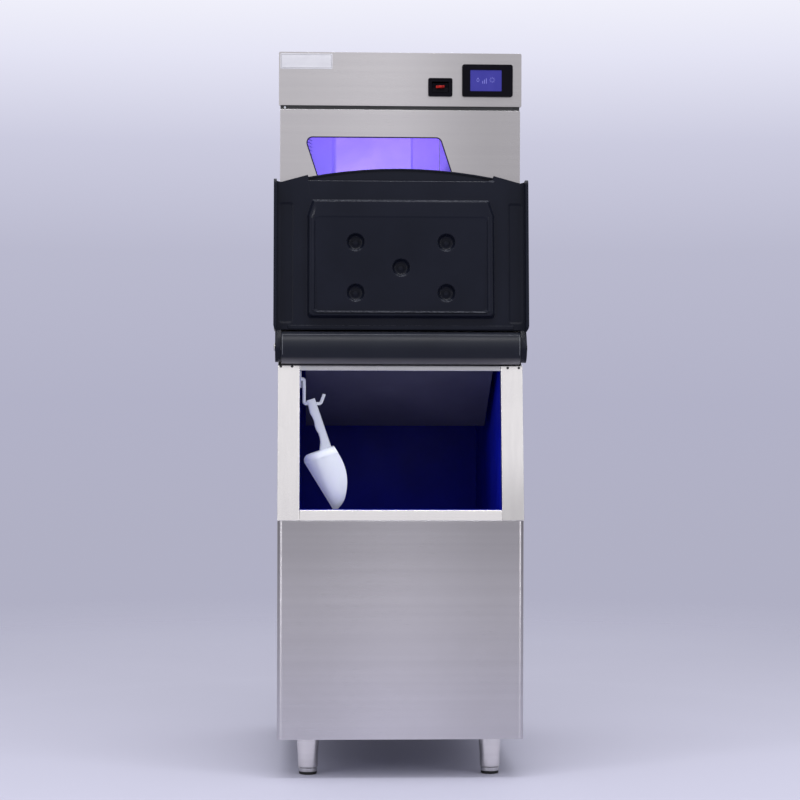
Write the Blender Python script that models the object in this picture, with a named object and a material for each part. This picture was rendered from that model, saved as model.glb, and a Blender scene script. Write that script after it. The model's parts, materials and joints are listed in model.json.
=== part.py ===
"""Commercial cube ice maker: an ice head on an insulated storage bin, its bin door flipped up."""

import math

import bmesh
import bpy
from mathutils import Matrix, Vector

# Driving dimensions in metres. A setback is measured back from the lower front panel.
WIDTH = 0.560
BIN_DEPTH = 0.830
BIN_HEIGHT = 0.920
LEG_HEIGHT = 0.090
FRONT_PANEL_HEIGHT = 0.495
FRONT_SLOPE = math.radians(8)
HEAD_HEIGHT = 0.650
HEAD_INSET = 0.003

# Sheet metal
SHEET = 0.0012
GAP = 0.0003
CORNER_RADIUS = 0.015
FLANGE = 0.020
RETURN = 0.015
FOLD_RADIUS = 0.003
SIDE_FOLD = 0.018
DECK_SETBACK = 0.001
DECK_RADIUS = 0.004
COLLAR_HEIGHT = 0.018

# Opening frame, liner and baffle
POST_WIDTH = 0.050
FRAME_DEPTH = 0.020
SILL_HEIGHT = 0.024
LINTEL_HEIGHT = 0.012
LINER_WALL = 0.004
LINER_RADIUS = 0.045
LINER_LAP = 0.006
INSULATION = 0.045
FLOOR_INSULATION = 0.050
BAFFLE_INSET = 0.013
BAFFLE_THICKNESS = 0.004
BAFFLE_DROP = 0.070
BAFFLE_FALL = 0.142
BAFFLE_REACH = 0.265
BAFFLE_FLANGE = 0.016
DRAIN_RADIUS = 0.012
DRAIN_WALL = 0.0025
DRAIN_COLLAR = 0.005

# Roll and pivots
ROLL_RADIUS = 0.0365
ROLL_RISE = 0.0045
ROLL_SHORTER = 0.008
ROLL_LEDGE = 0.0035
ROLL_CLEARANCE = 0.0025
PIN_RADIUS = 0.005
PIN_DEPTH = 0.020
PIN_HEAD = 0.004
PIN_HEAD_HEIGHT = 0.003
CHEEK_THICKNESS = 0.013
CHEEK_CLEARANCE = 0.001

# Door, with offsets from the pivot out to its outer and inner faces
DOOR_OVERHANG = 0.010
DOOR_OVERLAP = 0.009
DOOR_OUTER = 0.014
DOOR_INNER = 0.016
DOOR_LEAN = math.radians(5)
DOOR_REST = 0.003
SHOULDER_DROP = 0.014
LIP_CROWN = 0.011
LIP_DROP = 0.006
LIP_THICKNESS = 0.012
LIP_RIM = 0.003
SKIRT_THICKNESS = 0.0065
SKIRT_REACH = 0.046
SKIRT_ROUND = 0.012
SKIRT_LONGER = 0.006
LEDGE_HEIGHT = 0.0012
LEDGE_INSET = 0.032
LEDGE_WIDTH = 0.010
PLATEAU_HEIGHT = 0.014
PLATEAU_CLEARANCE = 0.017
PLATEAU_START = 0.074
PLATEAU_END_INSET = 0.056
PLATEAU_CORNER = 0.006
RECESS_DEPTH = 0.006
RECESS_INSET = 0.016
RECESS_LOW_INSET = 0.012
RECESS_TOP_INSET = 0.040
RECESS_RADIUS = 0.010
DIMPLE_RADIUS = 0.0195
DIMPLE_DEPTH = 0.0145
DIMPLE_SIDE_INSET = 0.093
DIMPLE_END_INSET = 0.053

# Scoop and hook
HOOK_DROP = 0.160
HOOK_RADIUS = 0.0038
HOOK_STAND_OFF = 0.0095
HOOK_PLATE_HALF = 0.011
HOLE_RADIUS = 0.006
SCOOP_SETBACK = 0.104
SCOOP_OFFSET = 0.028
SCOOP_TILT = math.radians(18)
SCOOP_WALL = 0.0026
BOWL_START = 0.107
BOWL_LENGTH = 0.140
BOWL_RIM = 0.0187
BOWL_BOTTOM = 0.062
BOWL_HALF = 0.059
GRIP_HALF = 0.0105
GRIP_TOP = 0.012

# Legs
LEG_INSET = 0.0705
LEG_RADIUS = 0.025
LEG_SETBACK = 0.085
LEG_BORE = 0.0074
PAD_HEIGHT = 0.006
RING_HEIGHT = 0.010
STEM_HEIGHT = 0.044
LEG_SIDES = 16

# Head front
CONTROL_PANEL_HEIGHT = 0.123
PANEL_GAP = 0.009
FITTING_BASE = 0.0225
SWITCH_WIDTH = 0.056
SWITCH_HEIGHT = 0.0424
SWITCH_RIM = 0.004
SWITCH_DEPTH = 0.024
SWITCH_BORDER = 0.0085
SWITCH_GAP = 0.0225
ROCKER_TILT = math.radians(9)
ROCKER_SETBACK = 0.006
ROCKER_PIN = 0.0015
DISPLAY_WIDTH = 0.117
DISPLAY_HEIGHT = 0.0745
DISPLAY_INSET = 0.0205
DISPLAY_RIM = 0.005
DISPLAY_DEPTH = 0.022
SCREEN_SIDE_BORDER = 0.022
SCREEN_END_BORDER = 0.01275
SCREEN_SHIFT = 0.0035
SCREEN_SINK = 0.0015
BODY_INSET = 0.0035
WINDOW_DROP = 0.195
WINDOW_HEIGHT = 0.240
WINDOW_SHIFT = 0.002
WINDOW_MARGIN = 0.0015
WINDOW_SLANT = 0.33
WINDOW_RADIUS = 0.014
PANE_THICKNESS = 0.003
PANE_LAP = 0.008

# Ice-making bay
BAY_MARGIN = 0.0575
MACHINE_SIDE = 0.236
MOULD_RISE = 0.095
MOULD_HEADROOM = 0.052
MOULD_SETBACK = 0.190
MOULD_RAIL = 0.009
MOULD_BACK = 0.0015
CELL_PITCH = 0.0315
CELL_WALL = 0.0022
CELL_DEPTH = 0.022
CELL_DRAFT = 0.0012
TUBE_RADIUS = 0.005
TUBE_INSET = 0.020
TUBE_BEND = 0.018
DROP_CLEARANCE = 0.00125
DROP_START = 0.112
DROP_DEPTH = 0.062
DROP_RADIUS = 0.008
FRAME_BAR = 0.010
FRAME_FOOT = 0.012
CURTAIN_SETBACK = 0.172
CURTAIN_RISE = 0.018
CURTAIN_PIN = 0.003
CURTAIN_THICKNESS = 0.0016
CURTAIN_HANG = 0.030
CURTAIN_STEP = 0.004
CREASE_INSET = 0.068
SPREADER_RADIUS = 0.009
SPRAY_HOLES = 7
TROUGH_WALL = 0.003
TROUGH_TAPER = 0.012
SHELF_SETBACK = 0.330
SHELF_HEM = 0.018
SHELF_LIP = 0.0075
PUMP_RADIUS = 0.030
PUMP_HEIGHT = 0.136
LAMP_SETBACK = 0.126
LAMP_WIDTH = 0.022
LAMP_HEIGHT = 0.012
LAMP_SHORTER = 0.018

# Machine bay
COMPRESSOR_INSET = 0.147
COMPRESSOR_REACH = 0.230
COMPRESSOR_RADIUS = 0.086
COMPRESSOR_HEIGHT = 0.203
COMPRESSOR_FOOT = 0.012
FAN_INSET = 0.137
FAN_RISE = 0.185
FAN_RADIUS = 0.095
FAN_BLADES = 5
FAN_SETBACK = 0.030
HUB_RADIUS = 0.020
HUB_HALF = 0.010
BLADE_HALF = 0.028
BLADE_THICKNESS = 0.0024
CONDENSER_REACH = 0.065
CONDENSER_DEPTH = 0.045
CONDENSER_MARGIN = 0.020
FIN_PITCH = 0.0155
FIN_DEPTH = 0.004
SHROUD_DEPTH = 0.050
ARM_THICKNESS = 0.004
ARM_HALF = 0.005
MOTOR_RADIUS = 0.036
MOTOR_LENGTH = 0.052
MOTOR_SHAFT = 0.004
BOX_SETBACK = 0.045
BOX_INSET = 0.027
BOX_WIDTH = 0.310
BOX_DEPTH = 0.120
BOX_HEIGHT = 0.095

# Louvres, slots and fittings at the sides and back
LOUVRES = 8
LOUVRE_PITCH = 0.034
LOUVRE_LENGTH = 0.150
LOUVRE_RISE = 0.140
LOUVRE_SETBACK = 0.060
LOUVRE_OUT = 0.006
LOUVRE_HEIGHT = 0.016
SLOT_PITCH = 0.025
SLOT_HALF = 0.006
SLOT_BAR = 0.005
REAR_STUB = 0.022
COLLAR_END = 0.007
INLET_INSET = 0.077
INLET_DROP = 0.100
INLET_RADIUS = 0.0105
OUTLET_RISE = 0.042
OUTLET_RADIUS = 0.0125
GLAND_RISE = 0.080
GLAND_RADIUS = 0.009

# Places and sizes that follow from the dimensions above
HALF = WIDTH / 2
HEAD_WIDTH = WIDTH - 2 * HEAD_INSET
HEAD_HALF = HEAD_WIDTH / 2
BIN_TOP = LEG_HEIGHT + BIN_HEIGHT
PANEL_TOP = LEG_HEIGHT + FRONT_PANEL_HEIGHT
HEAD_TOP = BIN_TOP + HEAD_HEIGHT
OPENING_HALF = HALF - POST_WIDTH
ROLL_HALF = HALF - ROLL_SHORTER
PIVOT_SETBACK = ROLL_RADIUS + 0.0005
PIVOT_Z = BIN_TOP + ROLL_RISE - ROLL_RADIUS
LEDGE_Z = PIVOT_Z - ROLL_RADIUS - ROLL_LEDGE
CHEEK_RADIUS = ROLL_RADIUS - ROLL_CLEARANCE
DOOR_HALF = HALF + DOOR_OVERHANG
DOOR_START = ROLL_RADIUS + ROLL_CLEARANCE
DOOR_LENGTH = PIVOT_Z - PANEL_TOP + DOOR_OVERLAP
PLATEAU_HALF = OPENING_HALF - PLATEAU_CLEARANCE
PLATEAU_END = DOOR_LENGTH - PLATEAU_END_INSET
HOOK_Z = BIN_TOP - HOOK_DROP
HOLE_Z = HOOK_Z + HOOK_RADIUS + GAP - HOLE_RADIUS
SCOOP_X = SCOOP_OFFSET - OPENING_HALF
LEG_SPACING = WIDTH - 2 * LEG_INSET
HEAD_FLOOR = BIN_TOP + GAP
PAN_TOP = HEAD_FLOOR + SHEET + GAP
CONTROL_LOW = HEAD_TOP - CONTROL_PANEL_HEIGHT
FRONT_PANEL_TOP = CONTROL_LOW - PANEL_GAP
WINDOW_TOP = HEAD_TOP - WINDOW_DROP
CELL_COLUMNS = int((HEAD_WIDTH - MACHINE_SIDE) / CELL_PITCH)
MOULD_BASE = BIN_TOP + MOULD_RISE
CELL_ROWS = int((CONTROL_LOW - MOULD_HEADROOM - MOULD_BASE) / CELL_PITCH)
MOULD_WIDTH = CELL_COLUMNS * CELL_PITCH
MOULD_HEIGHT = CELL_ROWS * CELL_PITCH
MOULD_SPACE = (MOULD_WIDTH + CELL_WALL) / 2 + GAP
FRAME_HALF = MOULD_SPACE + MOULD_RAIL
FRAME_BAR_LOW = MOULD_BASE + MOULD_HEIGHT + CELL_WALL / 2 + GAP
FRAME_LOW = MOULD_BASE - CELL_WALL / 2 - FRAME_FOOT
BAY_CENTRE = BAY_MARGIN + MOULD_WIDTH / 2 - HEAD_HALF
DROP_WIDTH = MOULD_WIDTH + 2 * DROP_CLEARANCE
WINDOW_WIDTH = MOULD_WIDTH - 2 * WINDOW_MARGIN
WINDOW_LEFT = BAY_CENTRE - WINDOW_WIDTH / 2 - WINDOW_SHIFT
CURTAIN_Z = MOULD_BASE + MOULD_HEIGHT + CURTAIN_RISE
FAN_X = HEAD_HALF - FAN_INSET
FAN_Z = BIN_TOP + FAN_RISE
CONDENSER_HALF = FAN_RADIUS + CONDENSER_MARGIN
CONDENSER_SETBACK = BIN_DEPTH - CONDENSER_REACH
DRAIN_Z = LEG_HEIGHT + FLOOR_INSULATION + LINER_WALL + DRAIN_RADIUS + LINER_WALL
INLET_X = INLET_INSET - HEAD_HALF
INLET_Z = HEAD_TOP - INLET_DROP
OUTLET_Z = BIN_TOP + OUTLET_RISE
GLAND_Z = BIN_TOP + GLAND_RISE


def door_offset(along, out):
    """Setback and height from the pivot of a point along the open door and out to its inner side."""
    back = along * math.sin(DOOR_LEAN) - out * math.cos(DOOR_LEAN)
    up = along * math.cos(DOOR_LEAN) + out * math.sin(DOOR_LEAN)
    return back, up


# The skirts of the open door reach furthest forward, and its lip decides how far back the head stands.
SKIRT_START = DOOR_START - SKIRT_LONGER
SKIRT_FRONT = -PIVOT_SETBACK - door_offset(SKIRT_START + SKIRT_ROUND, SKIRT_REACH)[0]
HEAD_SETBACK = PIVOT_SETBACK + door_offset(DOOR_LENGTH + LIP_CROWN, -DOOR_OUTER)[0] + DOOR_REST
FRONT_Y = (SKIRT_FRONT - BIN_DEPTH - REAR_STUB) / 2
REAR_Y = FRONT_Y + BIN_DEPTH
HEAD_Y = FRONT_Y + HEAD_SETBACK
PIVOT_Y = FRONT_Y + PIVOT_SETBACK
LEDGE_Y = PIVOT_Y + DOOR_START
CURTAIN_Y = FRONT_Y + CURTAIN_SETBACK
FAN_Y = FRONT_Y + CONDENSER_SETBACK - FAN_SETBACK


def slope_y(height, behind=0.0):
    """Y of the sloping bin front at a height, or of a plane that lies behind it."""
    return FRONT_Y + (height - PANEL_TOP) * math.tan(FRONT_SLOPE) + behind


def clear_scene():
    for thing in list(bpy.data.objects):
        bpy.data.objects.remove(thing, do_unlink=True)


def material(name, colour, roughness, metallic=0.0, alpha=1.0):
    made = bpy.data.materials.new(name)
    made.use_nodes = True
    shader = made.node_tree.nodes["Principled BSDF"]
    shader.inputs["Base Color"].default_value = (*colour, 1.0)
    shader.inputs["Roughness"].default_value = roughness
    shader.inputs["Metallic"].default_value = metallic
    shader.inputs["Alpha"].default_value = alpha
    made.diffuse_color = (*colour, alpha)
    return made


def steel(shade):
    return (shade, shade * 0.985, shade * 0.98)


# Modelling tools


def add_mesh(name, shape, finish, smooth_angle=None):
    """A named object from a bmesh, its faces outward and, if asked, smooth up to an angle in degrees."""
    bmesh.ops.recalc_face_normals(shape, faces=shape.faces)
    mesh = bpy.data.meshes.new(name)
    shape.to_mesh(mesh)
    shape.free()
    if smooth_angle is not None:
        mesh.shade_smooth()
        mesh.set_sharp_from_angle(angle=math.radians(smooth_angle))
    thing = bpy.data.objects.new(name, mesh)
    bpy.context.scene.collection.objects.link(thing)
    if finish is not None:
        mesh.materials.append(finish)
    return thing


def place(axis, first, second, along):
    """A point from its two outline coordinates and its place on the axis that the outline is swept along."""
    return {
        "X": (along, first, second),
        "Y": (first, along, second),
        "Z": (first, second, along),
    }[axis]


def loft(name, rings, finish=None, smooth_angle=None):
    """A solid through rings of equally many points, capped at both ends."""
    shape = bmesh.new()
    loops = [[shape.verts.new(point) for point in ring] for ring in rings]
    count = len(loops[0])
    for near, far in zip(loops, loops[1:]):
        for i in range(count):
            j = (i + 1) % count
            shape.faces.new((near[i], near[j], far[j], far[i]))
    shape.faces.new(loops[0])
    shape.faces.new(loops[-1])
    return add_mesh(name, shape, finish, smooth_angle)


def prism(name, axis, outline, low, high, finish=None, smooth_angle=None):
    rings = [[place(axis, a, b, along) for a, b in outline] for along in (low, high)]
    return loft(name, rings, finish, smooth_angle)


def block(name, low, high, finish=None):
    outline = [(low[0], low[1]), (high[0], low[1]), (high[0], high[1]), (low[0], high[1])]
    return prism(name, "Z", outline, low[2], high[2], finish)


def turned(name, axis, centre, profile, finish=None, steps=16):
    """A solid of revolution through (radius, place on the axis) pairs, closed flat at both ends."""
    rings = []
    for radius, along in profile:
        ring = []
        for i in range(steps):
            angle = math.tau * i / steps
            first, second = radius * math.cos(angle), radius * math.sin(angle)
            ring.append(Vector(centre) + Vector(place(axis, first, second, along)))
        rings.append(ring)
    return loft(name, rings, finish, 40)


def drill(name, axis, centre, radius, start, end, steps=16):
    """A round cutter."""
    return turned(name, axis, centre, [(radius, start), (radius, end)], None, steps)


def pipe(name, points, radius, finish, resolution=2):
    """A round rod or tube along points, as a mesh."""
    curve = bpy.data.curves.new(name, "CURVE")
    curve.dimensions = "3D"
    curve.bevel_depth = radius
    curve.bevel_resolution = resolution
    curve.use_fill_caps = True
    spline = curve.splines.new("POLY")
    spline.points.add(len(points) - 1)
    for target, point in zip(spline.points, points):
        target.co = (*point, 1.0)
    drawn = bpy.data.objects.new(name, curve)
    bpy.context.scene.collection.objects.link(drawn)
    bpy.context.view_layer.update()
    graph = bpy.context.evaluated_depsgraph_get()
    mesh = bpy.data.meshes.new_from_object(drawn.evaluated_get(graph))
    bpy.data.objects.remove(drawn, do_unlink=True)
    shape = bmesh.new()
    shape.from_mesh(mesh)
    bpy.data.meshes.remove(mesh)
    bmesh.ops.remove_doubles(shape, verts=shape.verts, dist=0.00001)
    return add_mesh(name, shape, finish)


def smooth_path(corners, radius, steps=3):
    """A path through corners, with each inner corner turned into an arc-like bend."""
    corners = [Vector(corner) for corner in corners]
    path = [corners[0]]
    for before, corner, after in zip(corners, corners[1:], corners[2:]):
        start = corner + (before - corner).normalized() * radius
        end = corner + (after - corner).normalized() * radius
        for i in range(steps + 1):
            t = i / steps
            path.append(start * (1 - t) ** 2 + corner * 2 * t * (1 - t) + end * t**2)
    path.append(corners[-1])
    return path


def boolean(thing, other, operation):
    """Cuts or joins with a helper shape, which is no piece of its own."""
    other.hide_render = True
    other.display_type = "WIRE"
    modifier = thing.modifiers.new(operation.title(), "BOOLEAN")
    modifier.operation = operation
    modifier.solver = "EXACT"
    modifier.object = other


def cut(thing, *cutters):
    for cutter in cutters:
        boolean(thing, cutter, "DIFFERENCE")
    return thing


def join(thing, *others):
    for other in others:
        boolean(thing, other, "UNION")
    return thing


def soften(thing, width, segments=2):
    modifier = thing.modifiers.new("Bevel", "BEVEL")
    modifier.width = width
    modifier.segments = segments
    modifier.limit_method = "ANGLE"
    modifier.angle_limit = math.radians(40)
    return thing


def set_origin(thing, point):
    """Moves an object's origin to a point and leaves its shape where it is."""
    offset = Vector(point) - thing.location
    for vert in thing.data.vertices:
        vert.co -= offset
    thing.location = point


def arc(centre, radius, start, end, steps):
    """Points on an arc, angles in degrees."""
    points = []
    for i in range(steps + 1):
        angle = math.radians(start + (end - start) * i / steps)
        points.append((centre[0] + radius * math.cos(angle), centre[1] + radius * math.sin(angle)))
    return points


def circle(centre, radius, steps):
    return arc(centre, radius, 0, 360 * (steps - 1) / steps, steps - 1)


def rounded(low, high, radius, steps=3):
    """A rectangle with round corners, anticlockwise from its lower right corner."""
    if radius <= 0:
        return [(high[0], low[1]), high, (low[0], high[1]), low]
    return (
        arc((high[0] - radius, low[1] + radius), radius, -90, 0, steps)
        + arc((high[0] - radius, high[1] - radius), radius, 0, 90, steps)
        + arc((low[0] + radius, high[1] - radius), radius, 90, 180, steps)
        + arc((low[0] + radius, low[1] + radius), radius, 180, 270, steps)
    )


def round_corners(corners, radius, steps=3):
    """An outline whose corners are all rounded by the same radius."""
    points = []
    count = len(corners)
    for i in range(count):
        corner = Vector(corners[i])
        before = (Vector(corners[i - 1]) - corner).normalized()
        after = (Vector(corners[(i + 1) % count]) - corner).normalized()
        reach = radius / math.tan(before.angle(after) / 2)
        start, end = corner + before * reach, corner + after * reach
        for k in range(steps + 1):
            t = k / steps
            point = start * (1 - t) ** 2 + corner * 2 * t * (1 - t) + end * t**2
            points.append((point.x, point.y))
    return points


def tray(name, axis, low, high, bottom, top, finish, radius=FOLD_RADIUS):
    """A folded sheet tray: a floor at its bottom and a flange all round up, or down, to its top."""
    solid = prism(name, axis, rounded(low, high, radius, 2), bottom, top, finish, 30)
    inner_low = (low[0] + SHEET, low[1] + SHEET)
    inner_high = (high[0] - SHEET, high[1] - SHEET)
    floor = math.copysign(SHEET, top - bottom)
    inner = rounded(inner_low, inner_high, max(radius - SHEET, 0), 2)
    return cut(solid, prism(name + "_hollow", axis, inner, bottom + floor, top + floor))


# The bin body


def front_profile_cutter():
    """What lies in front of the bin's side edges: the opening's slope, then the ledge under the roll."""
    behind = FRAME_DEPTH + GAP
    outside = FRONT_Y - FRAME_DEPTH
    above = BIN_TOP + FLANGE
    step = LEDGE_Y + GAP
    side = [
        (outside, PANEL_TOP - GAP),
        (slope_y(PANEL_TOP - GAP, behind), PANEL_TOP - GAP),
        (slope_y(LEDGE_Z, behind), LEDGE_Z),
        (step, LEDGE_Z),
        (step, above),
        (outside, above),
    ]
    return prism("front_profile", "X", side, -WIDTH, WIDTH)


def bin_shell(finish, profile):
    """One sheet folded round the front and both sides, its sides cut to the sloping front."""
    rear = REAR_Y - SHEET - GAP
    corner_y = FRONT_Y + CORNER_RADIUS
    corner_x = HALF - CORNER_RADIUS
    inner = CORNER_RADIUS - SHEET
    outside = (
        [(-HALF, rear)]
        + arc((-corner_x, corner_y), CORNER_RADIUS, 180, 270, 5)
        + arc((corner_x, corner_y), CORNER_RADIUS, 270, 360, 5)
        + [(HALF, rear)]
    )
    inside = (
        [(HALF - SHEET, rear)]
        + arc((corner_x, corner_y), inner, 360, 270, 5)
        + arc((-corner_x, corner_y), inner, 270, 180, 5)
        + [(SHEET - HALF, rear)]
    )
    return cut(prism("bin_shell", "Z", outside + inside, LEG_HEIGHT, BIN_TOP, finish, 30), profile)


def drain_hole(name, grow, length):
    return drill(name, "Y", (0, REAR_Y, DRAIN_Z), DRAIN_RADIUS + grow, -length, length, 12)


def bin_panels(finish):
    inner = HALF - SHEET - GAP
    front = FRONT_Y + SHEET + GAP
    rear = REAR_Y - SHEET - GAP
    radius = CORNER_RADIUS - SHEET
    tray("bin_base", "Z", (-inner, front), (inner, rear), LEG_HEIGHT, LEG_HEIGHT + FLANGE, finish, radius)
    panel = block("bin_rear_panel", (-HALF, REAR_Y - SHEET, LEG_HEIGHT), (HALF, REAR_Y, BIN_TOP), finish)
    cut(panel, drain_hole("panel_drain", GAP, INSULATION))


def drop_outline(grow=0.0):
    """The ice drop's plan, seen from above."""
    half = DROP_WIDTH / 2 + grow
    front = FRONT_Y + DROP_START - grow
    rear = FRONT_Y + DROP_START + DROP_DEPTH + grow
    return rounded((BAY_CENTRE - half, front), (BAY_CENTRE + half, rear), DROP_RADIUS + grow)


def bin_top_deck(finish):
    """The lid of the bin that carries the head, with a collar round the ice drop."""
    inner = HALF - SHEET - GAP
    low = (-inner, LEDGE_Y + DECK_SETBACK)
    high = (inner, REAR_Y - SHEET - GAP)
    deck = tray("bin_top_deck", "Z", low, high, BIN_TOP, BIN_TOP - FLANGE, finish, DECK_RADIUS)
    collar_low = BIN_TOP - COLLAR_HEIGHT
    join(deck, prism("deck_collar", "Z", drop_outline(2 * SHEET), collar_low, BIN_TOP - SHEET / 2))
    return cut(deck, prism("deck_drop", "Z", drop_outline(), BIN_TOP - 2 * FLANGE, BIN_TOP + FLANGE))


def liner_side(outer):
    """Side outline of the liner's outer skin, or of its inside."""
    wall = 0 if outer else LINER_WALL
    front = FRONT_Y + INSULATION + wall
    rear = REAR_Y - INSULATION - wall
    floor = LEG_HEIGHT + FLOOR_INSULATION + wall
    radius = LINER_RADIUS - wall
    top = BIN_TOP - SHEET - GAP if outer else BIN_TOP + FLANGE
    upper = LEDGE_Y + LINER_LAP + wall
    mouth_top = LEDGE_Z - (LINTEL_HEIGHT / 4 if outer else LINTEL_HEIGHT)
    sill = PANEL_TOP + SILL_HEIGHT - (LINER_LAP if outer else 0)
    reach = FRAME_DEPTH + GAP if outer else FRAME_DEPTH / 2
    return (
        arc((front + radius, floor + radius), radius, 180, 270, 4)
        + arc((rear - radius, floor + radius), radius, 270, 360, 4)
        + [
            (rear, top),
            (upper, top),
            (upper, mouth_top),
            (slope_y(mouth_top, reach), mouth_top),
            (slope_y(sill, reach), sill),
            (front, sill),
        ]
    )


def bin_liner(finish):
    """The moulded tub that holds the ice, open at the bin mouth and at the top."""
    half = OPENING_HALF + LINER_WALL
    liner = prism("bin_liner", "X", liner_side(True), -half, half, finish, 30)
    cut(liner, prism("liner_inside", "X", liner_side(False), -OPENING_HALF, OPENING_HALF))
    return cut(liner, drain_hole("liner_drain", GAP, 2 * INSULATION))


def bin_insulation(finish, profile):
    """Foam between the steel and the liner."""
    gap = 2 * SHEET + 2 * GAP
    inner = HALF - gap
    outline = rounded((-inner, FRONT_Y + gap), (inner, REAR_Y - gap), CORNER_RADIUS)
    top = BIN_TOP - SHEET - GAP
    foam = prism("bin_insulation", "Z", outline, LEG_HEIGHT + SHEET + GAP, top, finish, 30)
    half = OPENING_HALF + LINER_WALL + GAP
    space = prism("liner_space", "X", liner_side(True), -half, half)
    grown = space.modifiers.new("Clearance", "DISPLACE")
    grown.strength = GAP
    grown.mid_level = 0
    fold_rear = LEDGE_Y + DECK_SETBACK + DECK_RADIUS + GAP
    fold_low = (-HALF, LEDGE_Y - FLANGE, BIN_TOP - FLANGE - GAP)
    fold = block("fold_space", fold_low, (HALF, fold_rear, BIN_TOP + FLANGE))
    return cut(foam, profile, fold, space, drain_hole("foam_drain", GAP, 2 * INSULATION))


def bin_drain(finish):
    """A stub that drains the tub out through the back."""
    collar = DRAIN_RADIUS + DRAIN_COLLAR
    profile = [
        (DRAIN_RADIUS, -INSULATION - LINER_WALL - SHEET),
        (DRAIN_RADIUS, GAP + SHEET),
        (collar, GAP + SHEET),
        (collar, COLLAR_END),
        (DRAIN_RADIUS, COLLAR_END),
        (DRAIN_RADIUS, REAR_STUB),
    ]
    stub = turned("bin_drain", "Y", (0, REAR_Y, DRAIN_Z), profile, finish, 12)
    return cut(stub, drain_hole("drain_bore", -DRAIN_WALL, 2 * INSULATION))


def channel(name, left, right, low, high, finish):
    """A folded channel that lies in the sloping front, open at its back."""
    outer = [
        (slope_y(low), low),
        (slope_y(low, FRAME_DEPTH), low),
        (slope_y(high, FRAME_DEPTH), high),
        (slope_y(high), high),
    ]
    floor, ceiling = low + SHEET, high - SHEET
    inner = [
        (slope_y(floor, SHEET), floor),
        (slope_y(floor, 2 * FRAME_DEPTH), floor),
        (slope_y(ceiling, 2 * FRAME_DEPTH), ceiling),
        (slope_y(ceiling, SHEET), ceiling),
    ]
    solid = soften(prism(name, "X", outer, left, right, finish), SHEET)
    return cut(solid, prism(name + "_hollow", "X", inner, left + SHEET, right - SHEET))


def opening_frame(finish):
    low, high = PANEL_TOP, LEDGE_Z - GAP
    channel("frame_post_left", -HALF, -OPENING_HALF, low, high, finish)
    channel("frame_post_right", OPENING_HALF, HALF, low, high, finish)
    span = OPENING_HALF - GAP
    channel("frame_sill", -span, span, low, low + SILL_HEIGHT, finish)
    channel("frame_lintel", -span, span, high - LINTEL_HEIGHT, high, finish)


def ice_baffle(finish):
    """A plate hung under the deck that throws falling ice to the back of the bin."""
    half = OPENING_HALF - BAFFLE_INSET
    thick = BAFFLE_THICKNESS
    front = LEDGE_Y + LINER_LAP + LINER_WALL + GAP
    top = BIN_TOP - SHEET - GAP
    knee = top - BAFFLE_DROP
    rear = front + BAFFLE_REACH
    low = knee - BAFFLE_FALL
    side = [
        (front, top),
        (front, knee),
        (rear, low),
        (rear + thick / 2, low + thick),
        (front + thick, knee + thick),
        (front + thick, top),
    ]
    plate = prism("ice_baffle", "X", side, -half, half, finish)
    lift, back = BAFFLE_FLANGE, BAFFLE_FLANGE / 2
    edge = [(front, knee), (rear, low), (rear + back, low + lift), (front + back, knee + lift)]
    left = prism("baffle_flange_left", "X", edge, -half, thick - half)
    return join(plate, left, prism("baffle_flange_right", "X", edge, half - thick, half))


# The roll, its pins and the bin door


def door_roll(finish):
    """The fixed moulded beam whose round front the door turns about."""
    side = arc((PIVOT_Y, PIVOT_Z), ROLL_RADIUS, 90, 270, 12) + [
        (LEDGE_Y, LEDGE_Z + GAP),
        (LEDGE_Y, PIVOT_Z + ROLL_RADIUS),
    ]
    roll = prism("door_roll", "X", side, -ROLL_HALF, ROLL_HALF, finish, 30)
    depth = PIN_DEPTH + CHEEK_CLEARANCE
    for sign in (-1, 1):
        end = (sign * ROLL_HALF, PIVOT_Y, PIVOT_Z)
        cut(roll, drill("roll_socket", "X", end, PIN_RADIUS + GAP, -depth, depth, 12))
    return roll


def pivot_pins(finish):
    """A headed pin through each door cheek into the roll."""
    under_head = ROLL_HALF + CHEEK_CLEARANCE + CHEEK_THICKNESS + GAP
    profile = [
        (PIN_RADIUS, ROLL_HALF - PIN_DEPTH),
        (PIN_RADIUS, under_head),
        (PIN_RADIUS + PIN_HEAD, under_head),
        (PIN_RADIUS + PIN_HEAD, under_head + PIN_HEAD_HEIGHT * 0.6),
        (PIN_RADIUS + PIN_HEAD / 2, under_head + PIN_HEAD_HEIGHT),
    ]
    for name, sign in (("pivot_pin_left", -1), ("pivot_pin_right", 1)):
        mirrored = [(radius, sign * along) for radius, along in profile]
        turned(name, "X", (0, PIVOT_Y, PIVOT_Z), mirrored, finish, 12)


def on_door(across, along, out):
    """Place, from the pivot, of a point across the door, along it and out to its inner side."""
    back, up = door_offset(along, out)
    return (across, back, up)


def hang(thing):
    """Puts a shape that is drawn from the pivot where the pivot is."""
    thing.location = (0, PIVOT_Y, PIVOT_Z)
    return thing


def door_loft(name, steps, finish=None, smooth_angle=None):
    """A solid through outlines drawn across and along the door, each with its offset."""
    rings = [[on_door(x, u, out) for x, u in outline] for outline, out in steps]
    return hang(loft(name, rings, finish, smooth_angle))


def door_side_loft(name, side, inside, outside):
    """An outline along the door and out from it, swept across it."""
    return hang(loft(name, [[on_door(x, u, out) for u, out in side] for x in (inside, outside)]))


def lip_arch(drop, steps=10):
    """The handle's arched edge, from right to left."""
    points = []
    for i in range(steps + 1):
        share = 1 - 2 * i / steps
        crown = (LIP_CROWN + LIP_DROP) * (1 - share**2)
        points.append(((PLATEAU_HALF - drop) * share, DOOR_LENGTH - LIP_DROP + crown - drop))
    return points


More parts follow.
